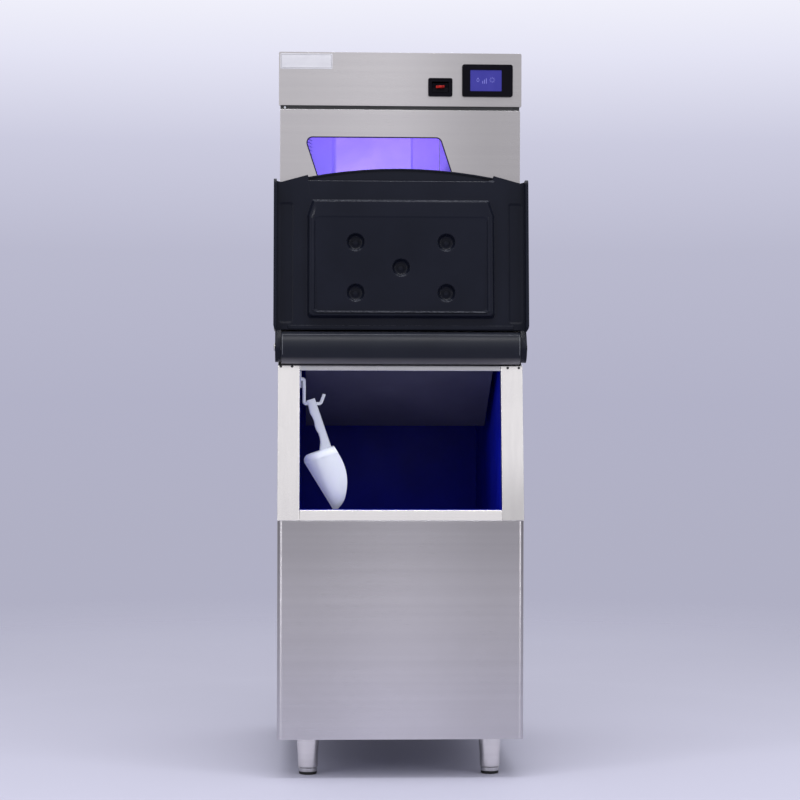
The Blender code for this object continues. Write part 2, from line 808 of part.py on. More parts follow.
def door_outline():
    """Outline of the door slab: sloping shoulders beside the arched handle lip."""
    half = DOOR_HALF - SKIRT_THICKNESS / 2
    inner = half - 2 * SKIRT_THICKNESS
    shoulder = DOOR_LENGTH - SHOULDER_DROP
    return (
        [(-half, DOOR_START), (half, DOOR_START), (half, shoulder), (inner, shoulder - LIP_RIM)]
        + [(PLATEAU_HALF, DOOR_LENGTH)]
        + lip_arch(0)
        + [(-PLATEAU_HALF, DOOR_LENGTH), (-inner, shoulder - LIP_RIM), (-half, shoulder)]
    )


def lip_cutters():
    """Steps the handle back from the door's inner face, down to its rim and then to its hollow."""
    low = DOOR_LENGTH - 2 * LIP_DROP
    above = DOOR_LENGTH + 2 * LIP_CROWN
    half = PLATEAU_HALF - LIP_RIM / 3
    hollow = LIP_THICKNESS - DOOR_OUTER
    field = [(-half, low), (half, low), (half, above), (-half, above)]
    edge = low + LIP_RIM / 6
    pocket = [(half - LIP_RIM, edge), *lip_arch(LIP_RIM), (LIP_RIM - half, edge)]
    top = DOOR_INNER + LIP_RIM
    return [
        door_loft("lip_step", [(field, hollow + LIP_RIM), (field, top)]),
        door_loft("lip_hollow", [(pocket, hollow), (pocket, top)]),
    ]


def door_skirt(name, sign):
    """A side wall that stands out from the inner face and wraps the bin's side when the door is shut."""
    inside = sign * (DOOR_HALF - SKIRT_THICKNESS)
    start = SKIRT_START + SKIRT_ROUND
    end = DOOR_LENGTH - SHOULDER_DROP + SKIRT_LONGER / 6 - SKIRT_ROUND
    high, low = SKIRT_REACH - SKIRT_ROUND, SKIRT_ROUND - DOOR_OUTER + SHEET / 2
    side = (
        arc((start, high), SKIRT_ROUND, 180, 90, 4)
        + arc((end, high), SKIRT_ROUND, 90, 0, 4)
        + arc((end, low), SKIRT_ROUND, 0, -90, 3)
        + arc((start, low), SKIRT_ROUND, -90, -180, 3)
    )
    return door_side_loft(name, side, inside, sign * DOOR_HALF)


def door_cheek(name, sign):
    """The arm beside the roll: a disc round the pivot with a neck up into the slab."""
    inside = sign * (ROLL_HALF + CHEEK_CLEARANCE)
    neck = DOOR_START + 2 * SKIRT_ROUND
    turn = CHEEK_RADIUS * math.sqrt(0.5)
    side = arc((0, 0), CHEEK_RADIUS, 90, 270, 10) + [
        (turn, -turn * 1.1),
        (neck, LEDGE_HEIGHT - DOOR_OUTER),
        (neck, DOOR_INNER - LEDGE_HEIGHT),
        (DOOR_START - ROLL_CLEARANCE, DOOR_INNER),
        (turn, turn),
    ]
    return door_side_loft(name, side, inside, inside + sign * CHEEK_THICKNESS)


def raised_plateau():
    """The raised field that plugs the bin mouth, its corners chamfered and its sides drafted."""
    side_cut, top_cut, foot_cut = PLATEAU_CORNER * 2, PLATEAU_CORNER * 5.6, PLATEAU_CORNER * 1.7

    def outline(inset):
        half = PLATEAU_HALF - inset
        low, high = PLATEAU_START + inset, PLATEAU_END - inset
        corners = [
            (side_cut - half, low),
            (half - side_cut, low),
            (half, low + foot_cut),
            (half, high - top_cut),
            (half - side_cut, high),
            (side_cut - half, high),
            (-half, high - top_cut),
            (-half, low + foot_cut),
        ]
        return round_corners(corners, PLATEAU_CORNER, 2)

    draft = PLATEAU_HEIGHT * 0.36
    edge = PLATEAU_HEIGHT * 0.21
    top = DOOR_INNER + PLATEAU_HEIGHT
    steps = [
        (outline(0), DOOR_INNER - edge),
        (outline(draft), top - edge),
        (outline(draft + edge * 1.4), top),
    ]
    return door_loft("door_plateau", steps)


def recess_cutter():
    """The shallow panel pressed into the plateau."""
    top = DOOR_INNER + PLATEAU_HEIGHT
    half = PLATEAU_HALF - RECESS_INSET
    low, high = PLATEAU_START + RECESS_LOW_INSET, PLATEAU_END - RECESS_TOP_INSET
    slope = RECESS_DEPTH * 0.8

    def outline(inset):
        return rounded((inset - half, low + inset), (half - inset, high - inset), RECESS_RADIUS)

    steps = [(outline(-slope), top + RECESS_DEPTH), (outline(slope), top - RECESS_DEPTH)]
    return door_loft("door_recess", steps)


def dimple_cutters():
    """Five deep round dimples that tie the two skins of the door together."""
    across = PLATEAU_HALF - RECESS_INSET - DIMPLE_SIDE_INSET
    low = PLATEAU_START + RECESS_LOW_INSET + DIMPLE_END_INSET
    high = PLATEAU_END - RECESS_TOP_INSET - DIMPLE_END_INSET
    middle = (low + high) / 2
    floor = DOOR_INNER + PLATEAU_HEIGHT - RECESS_DEPTH
    profile = [
        (DIMPLE_RADIUS, floor + RECESS_DEPTH),
        (DIMPLE_RADIUS, floor),
        (DIMPLE_RADIUS * 0.72, floor - DIMPLE_DEPTH * 0.7),
        (DIMPLE_RADIUS * 0.34, floor - DIMPLE_DEPTH),
    ]
    cutters = []
    for x, u in ((0, middle), (-across, low), (across, low), (-across, high), (across, high)):
        steps = [(circle((x, u), radius, 16), out) for radius, out in profile]
        cutters.append(door_loft("door_dimple", steps))
    return cutters


def foot_ledge():
    """The low ledge along the door's hinged edge, its ends turned up."""
    half = DOOR_HALF - LEDGE_INSET
    low = DOOR_START + GAP
    wing, rise = LEDGE_WIDTH * 1.1, LEDGE_WIDTH * 1.7
    side = [
        (-half, low),
        (half, low),
        (half + wing, low + rise),
        (half, low + LEDGE_WIDTH),
        (-half, low + LEDGE_WIDTH),
        (-half - wing, low + rise),
    ]
    return door_loft("door_ledge", [(side, DOOR_INNER - LEDGE_HEIGHT), (side, DOOR_INNER + LEDGE_HEIGHT)])


def bin_door(finish):
    """The insulated door, one moulding, flipped up and leaning back on the head."""
    outline = door_outline()
    door = door_loft("bin_door", [(outline, -DOOR_OUTER), (outline, DOOR_INNER)], finish, 30)
    cut(door, *lip_cutters())
    for sign, side in ((-1, "left"), (1, "right")):
        join(door, door_skirt("skirt_" + side, sign), door_cheek("cheek_" + side, sign))
    join(door, raised_plateau(), foot_ledge())
    cut(door, recess_cutter(), *dimple_cutters())
    return cut(door, hang(drill("door_bore", "X", (0, 0, 0), PIN_RADIUS + GAP, -WIDTH, WIDTH, 12)))


# Scoop and hook


def scoop_hook(finish):
    """A bent rod on a wall plate, on the liner's left wall."""
    wall = GAP - OPENING_HALF
    y = FRONT_Y + SCOOP_SETBACK
    root = HOOK_Z + HOOK_RADIUS * 15
    low = (wall, y - HOOK_PLATE_HALF, root - HOOK_PLATE_HALF * 1.9)
    high = (wall + HOOK_RADIUS * 0.8, y + HOOK_PLATE_HALF, root + HOOK_PLATE_HALF * 1.7)
    plate = soften(block("scoop_hook", low, high, finish), HOOK_RADIUS / 4, 1)
    corners = [
        (wall + HOOK_RADIUS / 4, y, root),
        (wall + HOOK_STAND_OFF, y, root),
        (wall + HOOK_STAND_OFF, y, HOOK_Z),
        (SCOOP_X + HOOK_RADIUS * 5.3, y, HOOK_Z),
        (SCOOP_X + HOOK_RADIUS * 7.4, y, HOOK_Z + HOOK_RADIUS * 5.8),
    ]
    return join(plate, pipe("hook_rod", smooth_path(corners, HOOK_RADIUS * 1.3), HOOK_RADIUS, finish))


def on_scoop(along, across, side):
    """World place of a scoop point: along it from the hanging hole, across to its open side, and sideways."""
    x = SCOOP_X + along * math.sin(SCOOP_TILT) + across * math.cos(SCOOP_TILT)
    z = HOLE_Z - along * math.cos(SCOOP_TILT) + across * math.sin(SCOOP_TILT)
    return (x, FRONT_Y + SCOOP_SETBACK + side, z)


def bowl_arc(along, rim, bottom, half, steps=10):
    """One U-shaped curve across the bowl, from rim to rim."""
    points = []
    for i in range(steps + 1):
        angle = math.pi * i / steps
        bulge = abs(math.sin(angle)) ** 0.72
        points.append(on_scoop(along, rim - (rim - bottom) * bulge, half * math.cos(angle)))
    return points


def scoop(finish):
    """A moulded ice scoop hung on the hook by the hole in its handle, its bowl open to the right."""
    rings = []
    steps = 8
    for i in range(steps + 1):
        t = i / steps
        rim = BOWL_RIM * (1 + 0.64 * math.sin(math.pi * t) - 1.39 * t**2.5)
        bottom = BOWL_BOTTOM * (0.55 * t - 1)
        half = BOWL_HALF * (0.8 * math.sqrt(max(1 - t**3.2, 0.0)) + 0.2)
        along = BOWL_START + BOWL_LENGTH * t
        outer = bowl_arc(along, rim, bottom, half)
        inner = bowl_arc(along, rim, bottom + SCOOP_WALL, half - SCOOP_WALL)
        rings.append(outer + inner[::-1])
    bowl = loft("scoop", rings, finish, 40)
    inset = SCOOP_WALL / 3
    back = []
    for along in (BOWL_START + 2 * GAP, BOWL_START + SCOOP_WALL + 2 * GAP):
        back.append(bowl_arc(along, BOWL_RIM - inset, inset - BOWL_BOTTOM, BOWL_HALF - inset))
    centre = (SCOOP_X, FRONT_Y + SCOOP_SETBACK, HOLE_Z)
    hole = drill("scoop_hole", "X", centre, HOLE_RADIUS, -3 * GRIP_HALF, 3 * GRIP_HALF, 12)
    return cut(join(bowl, loft("scoop_back", back), scoop_handle()), hole)


def scoop_handle():
    """The grip, waved for the fingers on its left side."""
    rings = []
    steps = 12
    length = BOWL_START + GRIP_TOP + SCOOP_WALL / 2
    for i in range(steps + 1):
        t = i / steps
        wave = 0.13 * math.sin(math.tau * 3.2 * t)
        left = GRIP_HALF * (wave - 1 + 0.38 * t - 7.6 * max(t - 0.85, 0))
        right = GRIP_HALF * (1 + 0.19 * t)
        half = GRIP_HALF * (1 - 0.19 * t)
        section = rounded((left, -half), (right, half), GRIP_HALF / 2, 2)
        rings.append([on_scoop(length * t - GRIP_TOP, across, side) for across, side in section])
    return loft("scoop_handle", rings)


# Legs


def legs(tube_finish, metal_finish, rubber_finish):
    """Four tapered legs, each with a screwed-in foot that carries a rubber pad."""
    half = LEG_SPACING / 2
    rear = BIN_DEPTH - LEG_SETBACK
    top = LEG_HEIGHT - GAP
    tube_low = PAD_HEIGHT + RING_HEIGHT
    stem_top = tube_low + STEM_HEIGHT
    tube = [
        (LEG_RADIUS * 0.89, tube_low),
        (LEG_RADIUS * 0.92, tube_low + LEG_RADIUS * 0.12),
        (LEG_RADIUS * 0.92, tube_low + LEG_RADIUS * 1.2),
        (LEG_RADIUS, top - LEG_RADIUS * 0.8),
        (LEG_RADIUS, top),
    ]
    stem = [
        (LEG_RADIUS * 0.84, PAD_HEIGHT + GAP),
        (LEG_RADIUS * 0.84, tube_low - SHEET),
        (LEG_RADIUS * 0.66, tube_low - GAP),
        (LEG_BORE - 2 * GAP, tube_low - GAP),
        (LEG_BORE - 2 * GAP, stem_top),
    ]
    pad = [
        (LEG_RADIUS * 0.78, 0),
        (LEG_RADIUS * 0.81, PAD_HEIGHT * 0.2),
        (LEG_RADIUS * 0.81, PAD_HEIGHT),
    ]
    for corner, x, setback in (
        ("front_left", -half, LEG_SETBACK),
        ("front_right", half, LEG_SETBACK),
        ("rear_left", -half, rear),
        ("rear_right", half, rear),
    ):
        centre = (x, FRONT_Y + setback, 0)
        leg = turned("leg_" + corner, "Z", centre, tube, tube_finish, LEG_SIDES)
        cut(leg, drill("leg_bore", "Z", centre, LEG_BORE, -LEG_BORE, stem_top + LEG_BORE, LEG_SIDES))
        turned("foot_" + corner, "Z", centre, stem, metal_finish, LEG_SIDES)
        turned("pad_" + corner, "Z", centre, pad, rubber_finish, LEG_SIDES)


# The head's casing


def window_outline(shrink=0.0):
    """The slanted window: a parallelogram with round corners."""
    top = WINDOW_TOP - shrink
    low = WINDOW_TOP - WINDOW_HEIGHT + shrink
    shift = WINDOW_SLANT * (WINDOW_HEIGHT - shrink)
    edge = shrink * WINDOW_SLANT
    left = WINDOW_LEFT + shrink + edge
    right = WINDOW_LEFT + WINDOW_WIDTH - shrink + edge
    corners = [(left + shift, low), (right + shift, low), (right, top), (left, top)]
    return round_corners(corners, WINDOW_RADIUS, 4)


def through_front(name, outline):
    """A cutter through the head's front sheet."""
    return prism(name, "Y", outline, HEAD_Y - RETURN, HEAD_Y + RETURN + SHEET)


def head_front_panel(finish):
    """The lift-off front panel with the window cut in it."""
    low = (-HEAD_HALF, HEAD_FLOOR + FOLD_RADIUS)
    high = (HEAD_HALF, FRONT_PANEL_TOP)
    panel = tray("head_front_panel", "Y", low, high, HEAD_Y, HEAD_Y + RETURN, finish)
    return cut(panel, through_front("window_cut", window_outline()))


def window_pane(finish):
    front = HEAD_Y + SHEET + GAP
    return prism("window_pane", "Y", window_outline(-PANE_LAP), front, front + PANE_THICKNESS, finish)


def display_centre():
    return HALF - DISPLAY_INSET - DISPLAY_WIDTH / 2, CONTROL_LOW + FITTING_BASE + DISPLAY_HEIGHT / 2


def switch_centre():
    right = display_centre()[0] - DISPLAY_WIDTH / 2 - SWITCH_GAP
    return right - SWITCH_WIDTH / 2, CONTROL_LOW + FITTING_BASE + SWITCH_HEIGHT / 2


def centred(centre, width, height, inset_x=0.0, inset_z=None):
    """Lower left and upper right corners of a rectangle about a centre."""
    half_x = width / 2 - inset_x
    half_z = height / 2 - (inset_x if inset_z is None else inset_z)
    return (centre[0] - half_x, centre[1] - half_z), (centre[0] + half_x, centre[1] + half_z)


def control_panel(finish):
    """The folded upper panel, with cut-outs for the switch and the display."""
    low, high = (-HALF, CONTROL_LOW), (HALF, HEAD_TOP)
    panel = tray("control_panel", "Y", low, high, HEAD_Y, HEAD_Y + RETURN, finish)
    inset = BODY_INSET - 2 * GAP
    for name, centre, width, height in (
        ("switch_cut", switch_centre(), SWITCH_WIDTH, SWITCH_HEIGHT),
        ("display_cut", display_centre(), DISPLAY_WIDTH, DISPLAY_HEIGHT),
    ):
        low, high = centred(centre, width, height, inset)
        cut(panel, through_front(name, rounded(low, high, inset)))
    return panel


def snap_in_body(name, centre, width, height, rim, depth, finish):
    """A rim in front of the panel and a smaller box through its cut-out."""
    low, high = centred(centre, width, height)
    front = prism(name, "Y", rounded(low, high, rim), HEAD_Y - rim, HEAD_Y - GAP, finish, 30)
    low, high = centred(centre, width, height, BODY_INSET)
    body = rounded(low, high, BODY_INSET - 4 * GAP, 2)
    return join(front, prism(name + "_body", "Y", body, HEAD_Y - rim / 2, HEAD_Y + depth))


def power_switch(finish, rocker_finish):
    """The rocker switch: a housing with a well, and the rocker that tips in it about its pivot."""
    centre = switch_centre()
    size = (SWITCH_WIDTH, SWITCH_HEIGHT)
    housing = snap_in_body("switch_housing", centre, *size, SWITCH_RIM, SWITCH_DEPTH, finish)
    low, high = centred(centre, *size, SWITCH_BORDER)
    well_floor = HEAD_Y + SWITCH_DEPTH - SWITCH_BORDER
    cut(housing, prism("switch_well", "Y", rounded(low, high, SHEET), HEAD_Y - SWITCH_DEPTH, well_floor))
    pivot = (centre[0], HEAD_Y + ROCKER_SETBACK, centre[1])
    half_x = SWITCH_WIDTH / 2 - SWITCH_BORDER - 3 * GAP
    half_z = SWITCH_HEIGHT / 2 - SWITCH_BORDER - 9 * GAP
    proud = ROCKER_SETBACK + BODY_INSET
    side = [
        (-proud, -half_z),
        (-GAP - ROCKER_SETBACK, 0),
        (-proud, half_z),
        (ROCKER_PIN, half_z * 0.9),
        (3.5 * ROCKER_PIN, 0),
        (ROCKER_PIN, -half_z * 0.9),
    ]
    tilt = Matrix.Rotation(ROCKER_TILT, 2)
    side = [tilt @ Vector(point) for point in side]
    rocker = prism("switch_rocker", "X", side, -half_x, half_x, rocker_finish)
    rocker.location = pivot
    reach = SWITCH_WIDTH / 2 - SWITCH_BORDER + ROCKER_PIN
    join(rocker, drill("rocker_pins", "X", pivot, ROCKER_PIN, -reach, reach, 12))
    cut(housing, drill("rocker_sockets", "X", pivot, ROCKER_PIN + GAP, -reach - GAP, reach + GAP, 12))


def display(bezel_finish, screen_finish):
    """The controller: a bezel with the screen set in it."""
    centre = display_centre()
    size = (DISPLAY_WIDTH, DISPLAY_HEIGHT)
    bezel = snap_in_body("display_bezel", centre, *size, DISPLAY_RIM, DISPLAY_DEPTH, bezel_finish)
    screen = (centre[0] - SCREEN_SHIFT, centre[1])
    floor = HEAD_Y - SHEET
    low, high = centred(screen, *size, SCREEN_SIDE_BORDER, SCREEN_END_BORDER)
    cut(bezel, prism("screen_well", "Y", rounded(low, high, SCREEN_SINK), HEAD_Y - 2 * DISPLAY_RIM, floor))
    low, high = centred(screen, *size, SCREEN_SIDE_BORDER + GAP, SCREEN_END_BORDER + GAP)
    outline = rounded(low, high, SCREEN_SINK)
    prism("display_screen", "Y", outline, HEAD_Y - DISPLAY_RIM + SCREEN_SINK, floor - GAP, screen_finish)


def head_side(name, sign, finish):
    """A folded side panel with a bank of louvres behind."""
    outer = sign * HEAD_HALF
    inner = sign * (HEAD_HALF - SHEET)
    fold = sign * (HEAD_HALF - SIDE_FOLD)
    front = HEAD_Y + RETURN + GAP
    rear = REAR_Y - SHEET - GAP
    outline = [
        (outer, front),
        (outer, rear),
        (fold, rear),
        (fold, rear - SHEET),
        (inner, rear - SHEET),
        (inner, front + SHEET),
        (fold, front + SHEET),
        (fold, front),
    ]
    panel = prism(name, "Z", outline, HEAD_FLOOR, HEAD_TOP - SHEET - GAP, finish)
    end = REAR_Y - LOUVRE_SETBACK
    start = end - LOUVRE_LENGTH
    skin = outer - sign * SHEET / 3
    crest = outer + sign * LOUVRE_OUT
    within = crest - sign * SHEET
    behind = outer - sign * 2 * LOUVRE_OUT
    for i in range(LOUVRES):
        low = BIN_TOP + LOUVRE_RISE + i * LOUVRE_PITCH
        top = low + LOUVRE_HEIGHT - 3 * SHEET
        hood = [(skin, low), (crest, low), (skin, low + LOUVRE_HEIGHT)]
        slot = [
            (behind, low - 2 * SHEET),
            (within, low - 2 * SHEET),
            (within, low + SHEET),
            (outer - sign * SHEET / 6, top),
            (behind, top),
        ]
        join(panel, prism("louvre_hood", "Y", hood, start, end))
        cut(panel, prism("louvre_slot", "Y", slot, start + SHEET, end - SHEET))
    return panel


def head_rear_panel(finish):
    """The back panel, slotted behind the condenser and pierced for the connections."""
    low, high = (-HEAD_HALF, REAR_Y - SHEET, HEAD_FLOOR), (HEAD_HALF, REAR_Y, HEAD_TOP - SHEET - GAP)
    panel = block("head_rear_panel", low, high, finish)
    rows = int(2 * CONDENSER_HALF / SLOT_PITCH)
    far = CONDENSER_HALF - 2 * SLOT_BAR
    for row in range(rows):
        z = FAN_Z + (row - (rows - 1) / 2) * SLOT_PITCH
        for left, right in ((-far, -SLOT_BAR), (SLOT_BAR, far)):
            low, high = (FAN_X + left, z - SLOT_HALF), (FAN_X + right, z + SLOT_HALF)
            slot = rounded(low, high, SLOT_HALF / 2, 1)
            cut(panel, prism("rear_slot", "Y", slot, REAR_Y - FLANGE, REAR_Y + FLANGE))
    for x, z, radius in (
        (INLET_X, INLET_Z, INLET_RADIUS),
        (INLET_X, OUTLET_Z, OUTLET_RADIUS),
        (0, GLAND_Z, GLAND_RADIUS),
    ):
        cut(panel, drill("rear_hole", "Y", (x, REAR_Y, z), radius + GAP, -FLANGE, FLANGE, 12))
    return panel


def head_top_cover(finish):
    """The lid, its side edges folded down over the side panels."""
    inner = HEAD_HALF + GAP
    outer = inner + SHEET
    fold = HEAD_TOP - FLANGE
    under = HEAD_TOP - SHEET
    outline = [
        (-outer, HEAD_TOP),
        (-outer, fold),
        (-inner, fold),
        (-inner, under),
        (inner, under),
        (inner, fold),
        (outer, fold),
        (outer, HEAD_TOP),
    ]
    return prism("head_top_cover", "Y", outline, HEAD_Y + RETURN + GAP, REAR_Y, finish)


def head_base_pan(finish):
    """The floor of the head, open over the ice drop."""
    half = HEAD_HALF - SHEET - GAP
    low = (-half, HEAD_Y + RETURN + SHEET + 2 * GAP)
    high = (half, REAR_Y - 2 * SHEET - 2 * GAP)
    pan = tray("head_base_pan", "Z", low, high, HEAD_FLOOR, HEAD_FLOOR + FLANGE, finish, DECK_RADIUS)
    return cut(pan, prism("pan_drop", "Z", drop_outline(SHEET), HEAD_FLOOR - RETURN, HEAD_FLOOR + RETURN))


def control_shelf(finish):
    """The dark cross rail and shelf behind the gap between the two front panels."""
    half = HEAD_HALF - SIDE_FOLD - SHEET
    front = HEAD_Y + 3 * SHEET
    rear = FRONT_Y + SHELF_SETBACK
    top = CONTROL_LOW - GAP
    within = top - SHEET / 2
    shelf = block("control_shelf", (-half, front, top - SHEET), (half, rear, top), finish)
    lip = block("shelf_lip", (-half, front, top - SHELF_LIP), (half, front + SHEET, within))
    hem = block("shelf_hem", (-half, rear - SHEET, top - SHELF_HEM), (half, rear, within))
    return join(shelf, lip, hem)


# The ice-making bay


def partition(finish):
    """One bent sheet that walls off the ice-making bay from the machine bay."""
    wall = BAY_CENTRE + FRAME_HALF + GAP
    front = HEAD_Y + RETURN + 2 * SHEET + 3 * GAP
    rear = FRONT_Y + SHELF_SETBACK - 3 * SHEET
    left = SIDE_FOLD + SHEET - HEAD_HALF
    outline = [
        (wall, front),
        (wall + SHEET, front),
        (wall + SHEET, rear + SHEET),
        (left, rear + SHEET),
        (left, rear),
        (wall, rear),
    ]
    return prism("bay_partition", "Z", outline, PAN_TOP, CONTROL_LOW - SHEET - 2 * GAP, finish)


def cell_edges(start, count):
    """The lines of the cell walls' faces along one side of the mould."""
    wall = CELL_WALL / 2
    edges = [start - wall]
    for i in range(count):
        edges += [start + i * CELL_PITCH + wall, start + (i + 1) * CELL_PITCH - wall]
    return edges + [start + count * CELL_PITCH + wall]


def evaporator(finish):
    """The ice mould: a plate of square drafted cells, with the serpentine tube brazed on its back."""
    front = FRONT_Y + MOULD_SETBACK
    back = front + CELL_DEPTH
    xs = cell_edges(BAY_CENTRE - MOULD_WIDTH / 2, CELL_COLUMNS)
    zs = cell_edges(MOULD_BASE, CELL_ROWS)
    shape = bmesh.new()
    grid = [[shape.verts.new((x, front, z)) for z in zs] for x in xs]
    for i in range(len(xs) - 1):
        for k in range(len(zs) - 1):
            rim = [grid[i][k], grid[i + 1][k], grid[i + 1][k + 1], grid[i][k + 1]]
            if i % 2 == 0 or k % 2 == 0:
                shape.faces.new(rim)
                continue
            low, high = rim[0].co, rim[2].co
            left, right = low.x + CELL_DRAFT, high.x - CELL_DRAFT
            under, over = low.z + CELL_DRAFT, high.z - CELL_DRAFT
            corners = ((left, under), (right, under), (right, over), (left, over))
            floor = [shape.verts.new((x, back, z)) for x, z in corners]
            for n in range(4):
                m = (n + 1) % 4
                shape.faces.new((rim[n], rim[m], floor[m], floor[n]))
            shape.faces.new(floor)
    edge = [e for e in shape.edges if e.is_boundary]
    made = bmesh.ops.extrude_edge_only(shape, edges=edge)["geom"]
    moved = [v for v in made if isinstance(v, bmesh.types.BMVert)]
    bmesh.ops.translate(shape, verts=moved, vec=(0, CELL_DEPTH + MOULD_BACK, 0))
    bmesh.ops.holes_fill(shape, edges=[e for e in shape.edges if e.is_boundary])
    return join(add_mesh("evaporator", shape, finish), serpentine())


def serpentine():
    """The copper tube that loops across the back of the mould."""
    y = FRONT_Y + MOULD_SETBACK + CELL_DEPTH + MOULD_BACK + 0.8 * TUBE_RADIUS
    half = MOULD_WIDTH / 2 - TUBE_INSET
    left, right = BAY_CENTRE - half, BAY_CENTRE + half
    low = MOULD_BASE + TUBE_INSET
    runs = 7
    pitch = (MOULD_HEIGHT - 2 * TUBE_INSET) / (runs - 1)
    corners = [(left - TUBE_INSET / 2, y, low), (right, y, low)]
    for i in range(1, runs):
        z = low + i * pitch
        ends = (left, right) if i % 2 == 0 else (right, left)
        corners += [(ends[0], y, z), (ends[1], y, z)]
    return pipe("serpentine", smooth_path(corners, TUBE_BEND, 2), TUBE_RADIUS, None, 1)


def mould_frame_reach():
    """Front and back of the plastic frame that holds the mould."""
    front = FRONT_Y + MOULD_SETBACK - CELL_WALL
    return front, FRONT_Y + MOULD_SETBACK + CELL_DEPTH + MOULD_BACK + FRAME_FOOT


def evaporator_frame(finish):
    """Plastic rails that hold the mould at its edges and carry the curtain's pins."""
    left, right = BAY_CENTRE - FRAME_HALF, BAY_CENTRE + FRAME_HALF
    front, rear = mould_frame_reach()
    low, top = FRAME_LOW, CURTAIN_Z + FRAME_FOOT
    ear = CURTAIN_Y - 2.6 * CURTAIN_PIN
    frame = block(
        "evaporator_frame", (left, front, FRAME_BAR_LOW), (right, rear, FRAME_BAR_LOW + FRAME_BAR), finish
    )
    side = [
        (front, low),
        (rear, low),
        (rear, top),
        (ear, top),
        (ear, CURTAIN_Z - FRAME_BAR),
        (front, CURTAIN_Z - 2 * FRAME_FOOT),
    ]
    for sign, name in ((-1, "left"), (1, "right")):
        near, far = BAY_CENTRE + sign * MOULD_SPACE, BAY_CENTRE + sign * FRAME_HALF
        join(frame, prism("mould_rail_" + name, "X", side, near, far))
    join(frame, block("mould_foot", (left, front + CELL_DEPTH, low), (right, rear, low + FRAME_FOOT - GAP)))
    hinge = (BAY_CENTRE, CURTAIN_Y, CURTAIN_Z)
    return cut(frame, drill("curtain_bore", "X", hinge, CURTAIN_PIN + GAP, -HALF, HALF, 12))


def water_curtain(finish):
    """The hinged curtain in front of the mould, creased, with pins at its top corners."""
    half = MOULD_SPACE - CELL_WALL
    crease = MOULD_WIDTH / 2 - CREASE_INSET
    step = CURTAIN_STEP
    face = []
    for x, out in (
        (-half, step),
        (-crease - 1.5 * step, step),
        (-crease, 0),
        (crease, 0),
        (crease + 1.5 * step, step),
        (half, step),
    ):
        face.append((BAY_CENTRE + x, CURTAIN_Y + out - step / 2))
    outline = face + [(x, y + CURTAIN_THICKNESS) for x, y in reversed(face)]
    hinge = (BAY_CENTRE, CURTAIN_Y, CURTAIN_Z)
    curtain = prism("water_curtain", "Z", outline, MOULD_BASE - CURTAIN_HANG, CURTAIN_Z - GAP, finish)
    bar = CURTAIN_PIN * 1.2
    low = (BAY_CENTRE - half, CURTAIN_Y - bar, CURTAIN_Z - bar)
    high = (BAY_CENTRE + half, CURTAIN_Y + bar, CURTAIN_Z + bar)
    reach = FRAME_HALF - 2 * GAP
    join(curtain, block("curtain_head", low, high))
    join(curtain, drill("curtain_pins", "X", hinge, CURTAIN_PIN, -reach, reach, 12))
    set_origin(curtain, hinge)
    return curtain


def water_distributor(finish):
    """The tube that spreads water along the top of the mould."""
    radius = SPREADER_RADIUS
    half = MOULD_WIDTH / 2
    y = FRONT_Y + MOULD_SETBACK + 0.75 * CELL_DEPTH
    z = FRAME_BAR_LOW + FRAME_BAR + GAP + radius
    tube = turned("water_distributor", "X", (BAY_CENTRE, y, z), [(radius, -half), (radius, half)], finish, 12)
    span = half - TUBE_INSET
    for i in range(SPRAY_HOLES):
        x = BAY_CENTRE - span + 2 * span * i / (SPRAY_HOLES - 1)
        hole = drill("spray_hole", "Y", (x, y - radius, z), radius * 0.18, -radius * 0.6, radius * 0.5, 6)
        cut(tube, hole)
    return tube


def water_trough(finish):
    """The sump under the mould that catches the water and feeds the pump."""
    wall = TROUGH_WALL
    half = DROP_WIDTH / 2 + 2 * wall
    low, high = PAN_TOP, FRAME_LOW - 2 * wall
    front = FRONT_Y + DROP_START + DROP_DEPTH + wall + SHEET
    rear = FRONT_Y + SHELF_SETBACK - TROUGH_TAPER
    heel, toe = front + TROUGH_TAPER, rear - TROUGH_TAPER / 2
    side = [(heel, low), (toe, low), (rear, high), (front, high)]
    above = high + 2 * wall
    inside = [
        (heel + wall, low + wall),
        (toe - wall, low + wall),
        (rear - wall, above),
        (front + wall, above),
    ]
    trough = prism("water_trough", "X", side, BAY_CENTRE - half, BAY_CENTRE + half, finish)
    half -= wall
    return cut(trough, prism("trough_inside", "X", inside, BAY_CENTRE - half, BAY_CENTRE + half))


def water_pump(finish):
    """The pump: a motor over the trough with its impeller housing down in the water."""
    radius, height = PUMP_RADIUS, PUMP_HEIGHT
    x = BAY_CENTRE + DROP_WIDTH / 2 - 1.5 * radius
    y = FRONT_Y + SHELF_SETBACK - TROUGH_TAPER - 1.5 * radius
    shares = (
        (0.73, 0.0),
        (0.73, 0.16),
        (0.33, 0.19),
        (0.33, 0.59),
        (1.0, 0.62),
        (1.0, 0.94),
        (0.33, 1.0),
    )
    profile = [(radius * across, height * up) for across, up in shares]
    return turned("water_pump", "Z", (x, y, PAN_TOP + TROUGH_WALL + GAP), profile, finish, 14)


def lamp_bar(finish):
    """The lamp under the shelf that lights the bay."""
    top = CONTROL_LOW - SHEET - 2 * GAP
    y = FRONT_Y + LAMP_SETBACK
    half = MOULD_WIDTH / 2 - LAMP_SHORTER
    low = (BAY_CENTRE - half, y, top - LAMP_HEIGHT)
    return block("bay_lamp", low, (BAY_CENTRE + half, y + LAMP_WIDTH, top), finish)


# The machine bay


